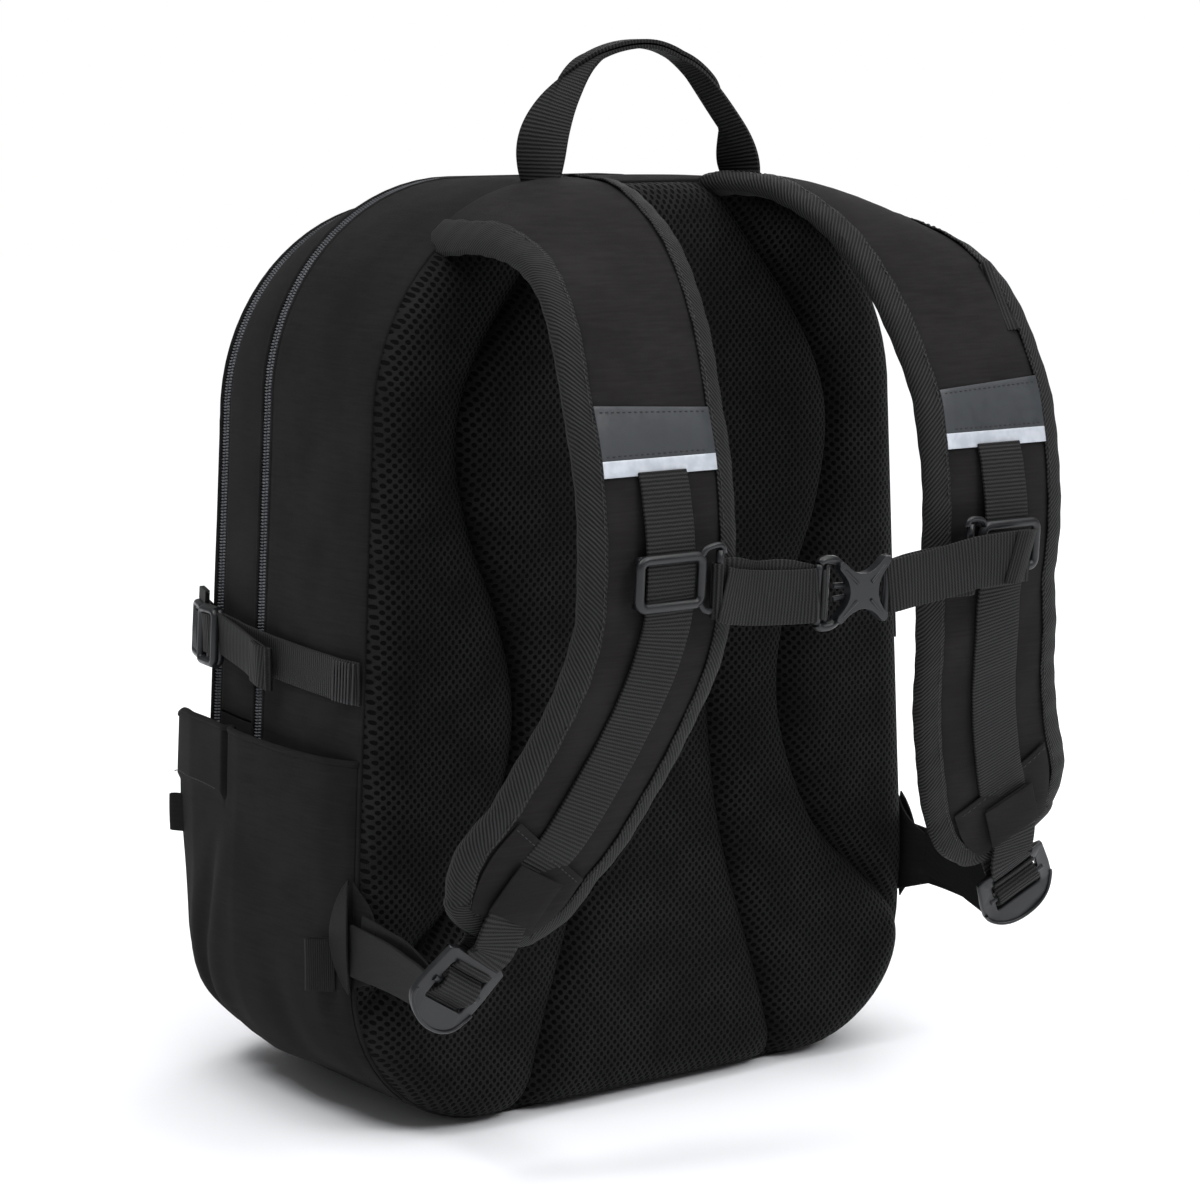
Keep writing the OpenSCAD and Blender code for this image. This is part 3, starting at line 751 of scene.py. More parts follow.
def back_panels():
    P = ring(BACK_Y, 0.001)
    zs = np.unique(np.round(P[:, 1], 5))
    zs = zs[np.concatenate([[True], np.diff(zs) > 0.0004])]
    fine = [zs[0]]
    for a, b in zip(zs[:-1], zs[1:]):
        k = max(1, int(ceil((b - a) / 0.0034)))
        fine += list(a + (b - a) * np.arange(1, k + 1) / k)
    zs = np.array(fine)
    half = P[P[:, 0] >= 0]
    side = half[(half[:, 0] > 0.03)]
    side = side[np.argsort(side[:, 1], kind="stable")]
    w = np.interp(zs, side[:, 1], side[:, 0])
    w[0] = P[np.abs(P[:, 1] - zs[0]) < 1e-4][:, 0].max()
    w[-1] = P[np.abs(P[:, 1] - zs[-1]) < 1e-4][:, 0].max()
    B, A = table(SEAM_B, zs), table(SEAM_A, zs)
    B = np.minimum(B, w - 0.004)
    B = np.maximum(B, A + 0.004)
    t = np.linspace(0, 1, 34)
    edges = {"back_pad_centre": (-A, A), "back_pad_mid_right": (A, B), "back_pad_mid_left": (-B, -A),
             "back_pad_side_right": (B, w), "back_pad_side_left": (-w, -B)}
    for name, (a, b) in edges.items():
        X = a[:, None] + (b - a)[:, None] * t[None, :]
        Z = np.repeat(zs[:, None], len(t), 1)
        Y = BACK_Y + 0.0008 - back_height(X, Z)
        o = grid(name + "_mesh", np.stack([X, Y, Z], 2), MAT["mesh"])
        face_towards(o, Vector((0, -1, 0)))
        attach(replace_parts(o, name), "bag_body")


back_panels()

# ---- camera, floor and light

cam_data = bpy.data.cameras.new("camera")
cam = bpy.data.objects.new("camera", cam_data)
scene.collection.objects.link(cam)
scene.camera = cam
az, el, dist = radians(-36.7), radians(8.8), 1.683
target = Vector((0, -0.09, 0.235))
view = Vector((sin(az) * cos(el), -cos(az) * cos(el), sin(el)))
cam.location = target + view * dist
cam.rotation_euler = (-view).to_track_quat("-Z", "Y").to_euler()
cam_data.sensor_width = 36
cam_data.lens = 105
cam_data.shift_x, cam_data.shift_y = -0.0347, 0.0079

floor_material = Nodes("floor").set(Base_Color=rgb(0.93, 0.94, 0.965), Roughness=0.6,
                                    Specular_IOR_Level=0.2)
bpy.ops.mesh.primitive_plane_add(size=14, location=(0, 0, -0.0006))
floor = bpy.context.object
floor.name = "floor"
floor.data.materials.append(floor_material)

world = bpy.data.worlds.new("studio")
scene.world = world
world.use_nodes = True
bg = world.node_tree.nodes["Background"]
bg.inputs[0].default_value = (1, 1, 1, 1)
# the backdrop is seen at full white, and lights the bag more gently
world_tree = world.node_tree
seen = world_tree.nodes.new("ShaderNodeLightPath").outputs["Is Camera Ray"]
level = world_tree.nodes.new("ShaderNodeMapRange")
world_tree.links.new(seen, level.inputs[0])
level.inputs[3].default_value = 0.24
level.inputs[4].default_value = 1.0
world_tree.links.new(level.outputs[0], bg.inputs[1])


def area(name, at, to, size, watts, colour=(1, 1, 1)):
    d = bpy.data.lights.new(name, "AREA")
    d.shape = "RECTANGLE"
    d.size, d.size_y = size
    d.energy = watts
    d.color = colour
    o = bpy.data.objects.new(name, d)
    scene.collection.objects.link(o)
    o.location = at
    o.rotation_euler = (Vector(to) - Vector(at)).to_track_quat("-Z", "Y").to_euler()
    return o


sun_data = bpy.data.lights.new("overhead", "SUN")
sun_data.energy = 3.0
sun_data.angle = radians(80)
sun = bpy.data.objects.new("overhead", sun_data)
scene.collection.objects.link(sun)
sun.rotation_euler = (Vector((0.1, -0.22, 1.0))).to_track_quat("Z", "Y").to_euler()
area("key", (0.7, -2.0, 1.7), (0, -0.1, 0.28), (0.9, 0.8), 17)
area("left", (-1.5, -0.1, 2.4), (-0.12, 0, 0.4), (0.7, 0.8), 24)
area("rim", (1.5, 1.3, 1.3), (0, 0, 0.3), (0.9, 1.2), 8)
scene.view_settings.view_transform = "Standard"

# ---- strips along a path


def frames(path, across_hint):
    """Tangent, across and outward directions at each point."""
    T = unit(np.gradient(path, axis=0))
    H = np.broadcast_to(np.asarray(across_hint, float), path.shape)
    A = unit(H - (H * T).sum(1, keepdims=True) * T)
    return T, A, np.cross(T, A)


def strip(name, path, across, profile, material, lift=0.0, t=0.0013, ripple=0.0):
    """A tape along a path. profile is a list of (across, outward) points of its face."""
    path = np.asarray(path, float)
    T, A, N = frames(path, across)
    s = arclen(path)
    prof = np.array(profile, float)
    P = path[:, None] + A[:, None] * prof[None, :, :1] + N[:, None] * (prof[None, :, 1:] + lift)
    if ripple:
        wave = np.sin(s[:, None] * 190 + 3 * np.sin(s[:, None] * 55))
        wave = wave * np.abs(prof[None, :, 0]) / np.abs(prof[:, 0]).max()
        P = P + N[:, None] * (ripple * wave)[:, :, None]
    UV = np.stack([np.broadcast_to(arclen(prof)[None], P.shape[:2]),
                   np.broadcast_to(s[:, None], P.shape[:2])], 2)
    o = grid(name, P, material, UV)
    thicken(o, t, 0.0)
    return o


def flat(width, n=7, crown=0.0):
    return [(x, crown * (1 - (2 * x / width) ** 2)) for x in np.linspace(-width / 2, width / 2, n)]


def web(name, path, across, width=0.025, t=0.0015, material=None, ripple=0.00012):
    """Woven tape along a path, with a slight crown and soft edges."""
    o = strip(name, path, across, flat(width, 9, 0.0002), material or MAT["webbing"], 0.0, t, ripple)
    bevel(o, 0.0004, 2, 40)
    return o


def stitches(name, path, N, pitch=0.0034, dash=0.0024, r=0.0003, material=None):
    """A row of thread dashes lying on a surface."""
    path = np.asarray(path, float)
    s = arclen(path)
    n = int(s[-1] / pitch)
    verts, faces = [], []
    N = np.asarray(N, float)
    for i in range(n):
        a, b = (i + 0.15) * pitch, (i + 0.15) * pitch + dash
        pts = along(np.linspace(a, b, 4), s, path)
        nn = unit(along([(a + b) / 2], s, N))[0]
        t = unit(pts[-1] - pts[0])
        side = np.cross(t, nn)
        base = len(verts)
        for j, p in enumerate(pts):
            k = (0.35, 1, 1, 0.35)[j]
            drop = (-0.9, 0.15, 0.15, -0.9)[j] * r
            for ang in range(6):
                an = pi / 3 * ang
                verts.append(p + nn * (drop + r * k * sin(an)) + side * r * k * cos(an))
        for j in range(3):
            for q in range(6):
                q2 = (q + 1) % 6
                faces.append((base + j * 6 + q, base + (j + 1) * 6 + q, base + (j + 1) * 6 + q2,
                              base + j * 6 + q2))
        faces.append(tuple(base + q for q in range(6)))
        faces.append(tuple(base + 18 + q for q in reversed(range(6))))
    return new_mesh(name, verts, faces, material or MAT["thread"])


X = (1, 0, 0)
ARC = (-0.05, 0.288, 0.1815)


def arc_point(deg, r=ARC[2], x=-0.097):
    a = radians(deg)
    return (x, ARC[0] - r * cos(a), ARC[1] + r * sin(a))


STRAP_TOP = [(-0.074, -0.084, 0.4395), (-0.077, -0.104, 0.4405), (-0.081, -0.134, 0.4375),
             (-0.0855, -0.166, 0.423), (-0.0895, -0.19, 0.4025), (-0.0935, -0.2085, 0.376)]
STRAP_END = [(-0.102, -0.223, 0.229), (-0.1115, -0.212, 0.1985), (-0.126, -0.2, 0.166),
             (-0.138, -0.192, 0.147), (-0.1525, -0.183, 0.1225)]
STRAP = spline(STRAP_TOP + [arc_point(a) for a in (19, 13, 7, 1, -5, -11)] + STRAP_END, 150)
S_ARC = arclen(STRAP)
S_LEN = S_ARC[-1]
PAD_W, PAD_T = 0.08, 0.0105


def strap_width(s):
    """The strap is full width but for its rounded lower end."""
    left = np.clip((S_LEN - s) / 0.03, 0, 1)
    return 1 - 0.3 * (1 - left) ** 2.2


def at_length(a, b, n=60):
    """Part of the strap's path, from one distance along it to another."""
    return along(np.linspace(a, b, n), S_ARC, STRAP)


def s_of_z(z):
    return float(np.interp(-z, -STRAP[20:, 2], S_ARC[20:]))


def pad_profile(scale, n=15):
    """Foam pad in section: a soft crown outside and a flatter face inside, closed."""
    w = PAD_W / 2 - 0.0008
    xs = w * np.sin(np.linspace(-1, 1, n) * pi / 2)
    top = [(x * scale, PAD_T / 2 * (1 - 0.6 * abs(x / w) ** 4.5) - 0.0002) for x in xs]
    bot = [(x * scale, -PAD_T / 2 * (1 - 0.6 * abs(x / w) ** 3.5)) for x in xs[::-1]]
    return top, bot


def outline_top(x):
    """Height of the bag's rounded top, |x| from its middle."""
    return 0.332 + np.sqrt(0.108 ** 2 - np.clip(np.abs(x) - 0.044, 0, 0.1) ** 2)


def droop(p, s):
    """Near its root the strap follows the bag's rounded top."""
    fade = 1 - smooth(0.0, 0.15, s)
    return p + vec(0, 0, 1) * (outline_top(p[0]) - outline_top(0.078) - 0.008) * fade


# the binding tape in section, wrapped round the pad's edge: outward and up from the edge
BINDING = [(-0.0098, 0.0052), (-0.0068, 0.005), (-0.0035, 0.0043), (-0.0002, 0.003), (0.001, 0.0),
           (-0.0002, -0.003), (-0.0035, -0.0043), (-0.0068, -0.005), (-0.0098, -0.0053)]


def build_strap(tag):
    """The left strap's pieces, as (object, kind)."""
    out = []
    T, A, N = frames(STRAP, X)
    wd = strap_width(S_ARC)
    rows_t, rows_b = [], []
    for i in range(len(STRAP)):
        top, bot = pad_profile(wd[i])
        soft = 0.0005 * sin(S_ARC[i] * 46 + 1) + 0.0003 * sin(S_ARC[i] * 120)
        top = [(x, h + soft * (1 - abs(x) / 0.04)) for x, h in top]
        for rows, points in ((rows_t, top), (rows_b, bot)):
            rows.append([droop(STRAP[i] + A[i] * x + N[i] * h, S_ARC[i]) for x, h in points])
    face = grid("face", rows_t, MAT["strap_cloth"])
    inner = grid("inner", rows_b, MAT["mesh_strap"])
    # the two ends
    caps = []
    for i in (0, len(STRAP) - 1):
        loop = rows_t[i] + rows_b[i]
        c = np.mean(loop, 0)
        vs = [c] + loop
        fs = [(0, k + 1, (k + 1) % len(loop) + 1) for k in range(len(loop))]
        caps.append(new_mesh("cap", vs, fs, MAT["strap_cloth"]))
    pad = join("shoulder_pad_" + tag, [face, inner] + caps)
    with editing(pad) as bm:
        bmesh.ops.remove_doubles(bm, verts=bm.verts, dist=0.00005)
        bmesh.ops.recalc_face_normals(bm, faces=bm.faces)
    out.append((pad, "pad"))
    # binding: one tape down the outer edge, round the lower end and up the inner edge
    step = np.linspace(0, S_LEN - 0.001, 120)
    P = along(step, S_ARC, STRAP)
    Tt, At, Nt = frames(P, X)
    w = strap_width(step) * PAD_W / 2
    left = P - At * w[:, None]
    right = P + At * w[:, None]
    end_c = P[-1]
    arc_pts = []
    for a in np.linspace(0, pi, 18)[1:-1]:
        arc_pts.append(end_c - At[-1] * w[-1] * cos(a) + Tt[-1] * 0.009 * sin(a))
    line = np.vstack([left, np.array(arc_pts), right[::-1]])
    s_line = np.concatenate([step, np.full(len(arc_pts), S_LEN), step[::-1]])
    normals = np.vstack([Nt, np.repeat(Nt[-1:], len(arc_pts), 0), Nt[::-1]])
    Tl = unit(np.gradient(line, axis=0))
    outs = unit(np.cross(normals, Tl))
    outs = outs * np.sign((outs[10] * (left[10] - P[10])).sum())
    line_s = arclen(line)
    rows, uv = [], []
    for i in range(len(line)):
        wave = 0.00025 * sin(line_s[i] * 420) + 0.0002 * sin(line_s[i] * 131)
        raised = [(d, h + (wave if h > 0 else -wave)) for d, h in BINDING]
        rows.append([droop(line[i] + outs[i] * d + normals[i] * h, s_line[i]) for d, h in raised])
        uv.append([(u, line_s[i]) for u in arclen(np.array(BINDING))])
    b = grid("strap_binding_" + tag, rows, MAT["twill"], uv)
    thicken(b, 0.0009, 0.0)
    bevel(b, 0.0003, 1, 50)
    q = np.array([droop(line[i] - outs[i] * 0.0082 + normals[i] * 0.0056, s_line[i])
                  for i in range(len(line))])
    st = stitches("binding_stitch_" + tag, q, normals, 0.0036, 0.0026, 0.00028)
    out += [(b, "binding"), (st, "stitch")]
    return out


PATCH_W = 0.0606
s_patch0, s_patch1 = s_of_z(0.347), s_of_z(0.3265)
s_strip1 = s_of_z(0.3195)
s_web_end = s_of_z(0.147)


def build_strap_trim(tag):
    out = []
    face = PAD_T / 2
    p = at_length(s_patch0, s_patch1 + 0.0005, 14)
    patch = strip("strap_patch_" + tag, p, X, flat(PATCH_W, 9), MAT["patch"], face + 0.0003, 0.0008)
    bevel(patch, 0.0003, 2, 50)
    out.append((patch, "patch"))
    for d in (0.0022, (s_patch1 - s_patch0) - 0.0018):
        L = at_length(s_patch0 + d, s_patch0 + d + 0.0004, 3)
        T, A, N = frames(L, X)
        xs = np.linspace(-0.0285, 0.0285, 32)
        q = np.array([L[1] + A[1] * x + N[1] * (face + 0.0008) for x in xs])
        out.append((stitches("patch_stitch", q, np.repeat(N[1:2], 32, 0), 0.003, 0.0021, 0.00026,
                             MAT["dark_thread"]), "stitch"))
    p = at_length(s_patch1, s_strip1, 8)
    refl = strip("strap_reflector_" + tag, p, X, flat(PATCH_W, 9), MAT["reflector"], face + 0.0004, 0.0007)
    bevel(refl, 0.00025, 2, 50)
    out.append((refl, "reflector"))
    # the webbing runs flat down the pad; it stands off where the slider crosses it
    a, b = s_strip1 - 0.0015, s_web_end
    p = at_length(a, b, 90)
    s = np.linspace(a, b, 90)
    s0 = s_of_z(0.275)
    ends = smooth(a, a + 0.01, s) * smooth(b, b - 0.016, s)
    lift = face + 0.0012 + 0.0037 * ends * (0.12 + 0.88 * np.exp(-((s - s0) / 0.032) ** 2))
    T, A, N = frames(p, X)
    q = p + N * lift[:, None]
    tape = web("strap_webbing_" + tag, q, X, 0.0255, 0.0015)
    out.append((tape, "webbing"))
    # the facing sewn over the strap's lower end, its upper edge on a slant
    end_path = at_length(s_web_end - 0.012, S_LEN - 0.002, 14)
    narrow = 0.98 * strap_width(np.linspace(s_web_end - 0.012, S_LEN, len(end_path)))
    T, A, N = frames(end_path, X)
    rows, uv = [], []
    for i in range(len(end_path)):
        row, u = [], []
        for x in np.linspace(-0.029, 0.029, 11):
            back = -0.004 * (x / 0.029)
            pt = end_path[i] - T[i] * back * (1 - i / (len(end_path) - 1))
            row.append(pt + A[i] * x * narrow[i] + N[i] * (face + 0.0003 + 0.0014 * (1 - (x / 0.031) ** 4)))
            u.append((x, i * 0.003))
        rows.append(row)
        uv.append(u)
    facing = layer("strap_facing_" + tag, rows, MAT["strap_cloth"], uv, 0.0009)
    out.append((facing, "facing"))
    q = np.array([rows[1][k] + N[1] * 0.0006 for k in range(11)])
    out.append((stitches("facing_stitch", q, np.repeat(N[1:2], 11, 0), 0.0032, 0.0023, 0.00026), "stitch"))
    return out


LOCK = vec(-0.16, -0.1795, 0.1025)
LD = unit(vec(-16, 10, -22))
LX = unit(vec(1, 0, 0) - (vec(1, 0, 0) @ LD) * LD)
LN = np.cross(LD, LX)


def on_lock(x, y, z):
    """x across the ladder lock, y out of its face, z back up the strap."""
    return LOCK + LX * x + LN * y - LD * z


def lock_webbing(tag):
    """Webbing sewn to the pad's end, down to the lock's upper bar and folded under."""
    T, A, N = frames(STRAP, X)
    start = at_length(S_LEN - 0.03, S_LEN - 0.0005, 8)
    Ts, As, Ns = frames(start, X)
    top = start + Ns * (PAD_T / 2 + 0.0034)
    path = spline([*top[[0, 3, 6]], on_lock(0, 0.0042, 0.012), on_lock(0, 0.0034, 0.004)], 40)
    acr = np.array([As[0] * (1 - k) + LX * k for k in np.linspace(0, 1, 40)])
    a = web("end_webbing_" + tag, path, acr, 0.0245, 0.0017)
    turn = np.linspace(-0.15, pi + 0.15, 16)
    loop = np.array([on_lock(0, 0.0032 * cos(t), -0.0032 * sin(t)) for t in turn])
    b = web("end_loop_" + tag, loop, LX, 0.0245, 0.0015, ripple=0)
    tucked = STRAP[-1] - (N[-1] + T[-1]) * 0.002
    under = spline([on_lock(0, -0.0036, 0.002), on_lock(0, -0.004, 0.01), tucked], 16)
    c = web("end_under_" + tag, under, LX, 0.0245, 0.0014, ripple=0)
    # the stitched square on top of it
    sq = at_length(S_LEN - 0.031, S_LEN - 0.006, 8)
    box = strip("end_square_" + tag, sq, X, flat(0.029, 7, 0.0003), MAT["strap_cloth"], PAD_T / 2 + 0.0048,
                0.001)
    bevel(box, 0.0004, 2, 50)
    return [(a, "webbing"), (b, "webbing"), (c, "webbing"), (box, "facing")]


def rounded_bar(path, r, squash=1.0, closed=False, n=10, normal=(0, 0, 1), material=MAT["plastic"]):
    """A moulded bar along a path, of radius r, scaled by squash along its normal."""
    path = np.asarray(path, float)
    T = unit(np.roll(path, -1, 0) - np.roll(path, 1, 0) if closed else np.gradient(path, axis=0))
    S = unit(np.cross(T, np.broadcast_to(np.asarray(normal, float), path.shape)))
    N = np.cross(S, T) * squash
    circle = np.linspace(0, 2 * pi, n, endpoint=False)
    rows = [[path[i] + (S[i] * cos(a) + N[i] * sin(a)) * r for a in circle] for i in range(len(path))]
    o = grid("bar", rows, material, close_u=closed, close_v=True)
    if not closed:
        with editing(o) as bm:
            fill(bm, range(n))
            fill(bm, [(len(path) - 1) * n + i for i in reversed(range(n))])
    fix_normals(o)
    return o


def plate(outline, holes, thickness, place, bev=0.0008, dome=None, material=MAT["plastic"]):
    """A moulded plate: an outline with holes, in two local directions, placed by place(x, y, z)."""
    bm = bmesh.new()
    loops = [outline] + holes
    edges = []
    for corners in loops:
        vs = [bm.verts.new((p[0], p[1], 0)) for p in corners]
        edges += [bm.edges.new((vs[i], vs[(i + 1) % len(vs)])) for i in range(len(vs))]
    bmesh.ops.triangle_fill(bm, use_beauty=True, use_dissolve=False, edges=edges)
    o = new_mesh("plate", [], [], material)
    bm.to_mesh(o.data)
    bm.free()
    thicken(o, thickness, 0.0)
    bevel(o, bev, 3, 40)
    solid = join("plate", [o])
    for v in solid.data.vertices:
        x, y, z = v.co
        v.co = Vector(place(x, y, z + (dome(x, y) if dome else 0)))
    fix_normals(solid)
    shade_smooth(solid)
    m = solid.modifiers.new("Normals", "WEIGHTED_NORMAL")
    m.keep_sharp = True
    return solid


def round_box(x0, x1, y0, y1, r, n=5):
    out = []
    for cx, cy, a0 in ((x1 - r, y1 - r, 0), (x0 + r, y1 - r, 90), (x0 + r, y0 + r, 180),
                       (x1 - r, y0 + r, 270)):
        for k in range(n + 1):
            a = radians(a0 + 90 * k / n)
            out.append((cx + r * cos(a), cy + r * sin(a)))
    return out


LOCK_W, FLANGE_Z = 0.0212, -0.0195


def build_lock(tag):
    """Ladder lock: a shield-shaped plate with a broad thumb flange, two slots and its bars."""
    outer = [(-0.02, 0.0035), (-0.0165, 0.005), (0.0165, 0.005), (0.02, 0.0035)]
    outer += [(LOCK_W, -0.012)]
    outer += [(LOCK_W * cos(a), FLANGE_Z + 0.0135 * sin(a)) for a in np.linspace(0, -pi, 29)]
    outer += [(-LOCK_W, -0.012)]
    h1 = round_box(-0.0135, 0.0135, -0.01, -0.002, 0.0012)
    h2 = round_box(-0.0135, 0.0135, -0.0212, -0.0138, 0.0012)

    def dome(x, z):
        lip = smooth(-0.0225, -0.033, z)
        return 0.003 * float(lip) + 0.0012 * (1 - (x / LOCK_W) ** 2)

    body = plate(outer, [h1, h2], 0.003, lambda x, z, h: on_lock(x, h, z), 0.0009, dome)
    parts = [body]
    for z, r, y in ((0.0, 0.0018, 0.0), (-0.012, 0.0019, 0.0012)):
        parts.append(rounded_bar([on_lock(x, y, z) for x in np.linspace(-0.0165, 0.0165, 6)], r, normal=LN))
    over = spline([on_lock(0, -0.0036, -0.0225), on_lock(0, -0.001, -0.0205), on_lock(0, 0.0036, -0.015),
                   on_lock(0, 0.0043, -0.012), on_lock(0, 0.0034, -0.008), on_lock(0, -0.0004, -0.0045),
                   on_lock(0, -0.0036, -0.003)], 40)
    parts.append(web("over_" + tag, over, LX, 0.0245, 0.0015, ripple=0))
    # raised rim round the flange
    rim = []
    for a in np.linspace(0, -pi, 40):
        x, z = 0.0204 * cos(a), FLANGE_Z + 0.0128 * sin(a)
        rim.append(on_lock(x, 0.0016 + dome(x, z), z))
    parts.append(rounded_bar(rim, 0.0009, normal=LN))
    return join("ladder_lock_" + tag, parts)


LOWER = [(-0.1712, -0.1672, 0.0865), (-0.1705, -0.159, 0.088), (-0.1696, -0.146, 0.0895),
         (-0.1692, -0.132, 0.0912), (-0.169, -0.118, 0.0922), (-0.1685, -0.093, 0.093)]
LOWER_A = [(0.3, 0.1, -0.95), (0.12, 0.03, -0.99), (0.08, 0, -1), (0, 0, -1), (0, 0, -1), (0, 0, -1)]


def lower_webbing(tag):
    out = []
    p = spline(LOWER, 50)
    a = spline(LOWER_A, 50)
    out.append((web("adjust_webbing_" + tag, p, a, 0.0245, 0.0015, MAT["fine_web"]), "webbing"))
    # a second layer, the loose tail, lies behind it and curls at its end
    q = spline([(-0.165, -0.162, 0.086), (-0.1648, -0.15, 0.09), (-0.165, -0.136, 0.0945),
                (-0.1655, -0.122, 0.096), (-0.166, -0.11, 0.0975), (-0.1662, -0.099, 0.0985)], 40)
    lean = spline([(0.3, 0, -0.95), (0.12, 0, -1), (0.05, 0, -1)] + [(0, 0, -1)] * 3, 40)
    out.append((web("adjust_tail_" + tag, q, lean, 0.0235, 0.0013, MAT["fine_web"]), "webbing"))
    return out

# ---- straps on both sides


def both(objs, place):
    """Places each left piece and its mirror image; place(object, side, kind) gives it its body."""
    for o, kind in objs:
        m = mirrored(o, o.name.replace("_left", "_right"))
        place(o, "left", kind)
        place(m, "right", kind)


def unmodify(o):
    """Applies the piece's modifiers, so that its mesh is final."""
    name = o.name
    o.name = name + "_raw"
    return join(name, [o])


NODE_OF = {kind: kind for kind in ("shoulder_pad", "strap_binding", "strap_patch", "strap_reflector",
                                   "strap_webbing")}
NODE_OF["end_webbing"] = "strap_tail"


def on_strap(o, side, kind):
    base = o.name.rsplit("_", 1)[0]
    o = unmodify(o)
    if base in NODE_OF:
        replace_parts(o, NODE_OF[base] + "_" + side)
    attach(o, "strap_" + side)
    if kind in ("pad", "binding", "stitch"):
        o.parent = None
        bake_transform(o)


both(build_strap("left"), on_strap)
both(build_strap_trim("left"), on_strap)
both(lock_webbing("left"), on_strap)


lock = build_lock("left")
for o, side in ((lock, "left"), (mirrored(lock, "ladder_lock_right"), "right")):
    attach(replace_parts(o, "ladder_lock_" + side), "ladder_lock_" + side)


def on_corner(o, side, kind):
    """The adjusting webbing stretches between the bag's corner and the lock."""
    o = unmodify(o)
    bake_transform(o)


both(lower_webbing("left"), on_corner)


def wing(tag):
    """Two layers sewn into the back seam, standing apart, with the adjusting webbing between them."""
    out = []
    rows, uv = [], []
    for i in range(9):
        t = i / 8
        row = []
        for j in range(15):
            v = j / 14
            bulge = sin(pi * v) ** 0.8
            row.append((-0.1668 - 0.0052 * bulge, -0.0892 + (0.0085 * (1 - t) - 0.0065 * t) * bulge,
                        0.0705 + 0.0545 * v))
        rows.append(row)
        uv.append([(j * 0.0048, i * 0.0028) for j in range(15)])
    out.append(layer("wing_outer", rows, MAT["tape"], uv, 0.0012, 0.0004))
    rows, uv = [], []
    for i in range(9):
        t = i / 8
        zt, zb = 0.124 - 0.019 * t ** 0.8, 0.074 + 0.007 * t
        x = -0.1645 - 0.0026 * t + 0.003 * sin(pi * t)
        rows.append([(x, -0.0895 - 0.023 * t, zb + (zt - zb) * j / 10) for j in range(11)])
        uv.append([(j * 0.006, i * 0.003) for j in range(11)])
    out.append(layer("wing_inner", rows, MAT["cloth"], uv, 0.0012, 0.0004))
    return join("strap_wing_" + tag, out)


def on_bag(left, right_name, node):
    """A piece on the bag's left that stands for a node of both sides, and its mirror image."""
    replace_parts(left, node)
    for o in (left, mirrored(left, right_name)):
        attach(o, "bag_body")


on_bag(wing("left"), "strap_wing_right", "strap_wings")

# roots: the cloth band under the top of each strap
root_rows, root_uv = [], []
for i, y in enumerate(np.linspace(-0.078, -0.117, 10)):
    drop = 0.0045 * ((y + 0.078) / 0.039) ** 2
    root_rows.append([(x, y, outline_top(x) - 0.002 - drop) for x in np.linspace(-0.112, -0.046, 16)])
    root_uv.append([(0.005 * j, i * 0.004) for j in range(16)])
root = layer("strap_root_left", root_rows, MAT["strap_cloth"], root_uv, 0.0016, 0.0005)
on_bag(root, "strap_root_right", "strap_roots")

# ---- chest strap

TILT = radians(4)
WEB_R, CHEST_R = 0.1902, 0.1944
CHEST_W, HOOK_X = 0.0245, 0.0725


def chest(x, r, z):
    """Across the chest, out from the arc's centre, and up along the strap."""
    return vec(x, -0.05 - r * cos(TILT) - z * sin(TILT), 0.288 - r * sin(TILT) + z * cos(TILT))


def hang(x, r, z):
    """The same, with the sag of the strap between its two hooks."""
    return chest(x, r, z + np.interp(x, [-0.0725, -0.02, 0.02, 0.0725, 0.105],
                                     [-0.0055, -0.012, -0.012, -0.008, -0.0085]))


CHEST_OUT = unit(chest(0, 1, 0) - chest(0, 0, 0))
CHEST_UP = unit(chest(0, 0, 1) - chest(0, 0, 0))


def chest_slider(tag, lo, hi, hook):
    """Open ring with rounded corners that slides on the strap's webbing, and a hook bar."""
    parts = []
    ring_pts = [chest(x, WEB_R + 0.0024, z)
                for x, z in round_box(lo + 0.0022, hi - 0.0022, -0.0104, 0.0104, 0.0036, 6)]
    parts.append(rounded_bar(ring_pts, 0.0023, 0.85, True, 12, CHEST_OUT))
    for z in (-0.01, 0.01):
        parts.append(rounded_bar([chest(x, WEB_R - 0.002, z)
                                  for x in np.linspace(lo + 0.004, hi - 0.004, 8)], 0.0016,
                                 normal=CHEST_OUT))
        for x in (lo + 0.0035, hi - 0.0035):
            parts.append(rounded_bar([chest(x, WEB_R - 0.002, z), chest(x, WEB_R + 0.0025, z)], 0.0016,
                                     normal=(1, 0, 0)))
    s = 1 if hook > hi else -1
    edge = hi if s > 0 else lo
    for z in (-1, 1):
        pts = spline([chest(edge - s * 0.003, WEB_R + 0.0026, z * 0.01),
                      chest(edge - s * 0.0003, WEB_R + 0.0032, z * 0.0136),
                      chest(hook + s * 0.0004, WEB_R + 0.0034, z * 0.0144),
                      chest(hook + s * 0.0022, WEB_R + 0.0034, z * 0.0108)], 14)
        parts.append(rounded_bar(pts, 0.0015, 0.9, False, 10, CHEST_OUT))
    bar = [chest(hook, WEB_R + 0.0034, z) for z in np.linspace(-0.0125, 0.0125, 6)]
    parts.append(rounded_bar(bar, 0.0018, normal=CHEST_OUT))
    return join("chest_slider_" + tag, parts)


slider_l = chest_slider("left", -0.1165, -0.079, -HOOK_X)
slider_r = chest_slider("right", 0.079, 0.1165, HOOK_X)
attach(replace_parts(slider_l, "chest_slider_left"), "chest_strap_left")
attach(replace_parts(slider_r, "chest_slider_right"), "chest_slider_right")


def chest_web(pts):
    """Tape across the chest. pts are (x, r, z); the tape's width stands along the strap."""
    p = np.array([hang(*q) for q in spline(pts, 60)])
    return web("chest", p, CHEST_UP, CHEST_W, 0.0015, ripple=0.0002)


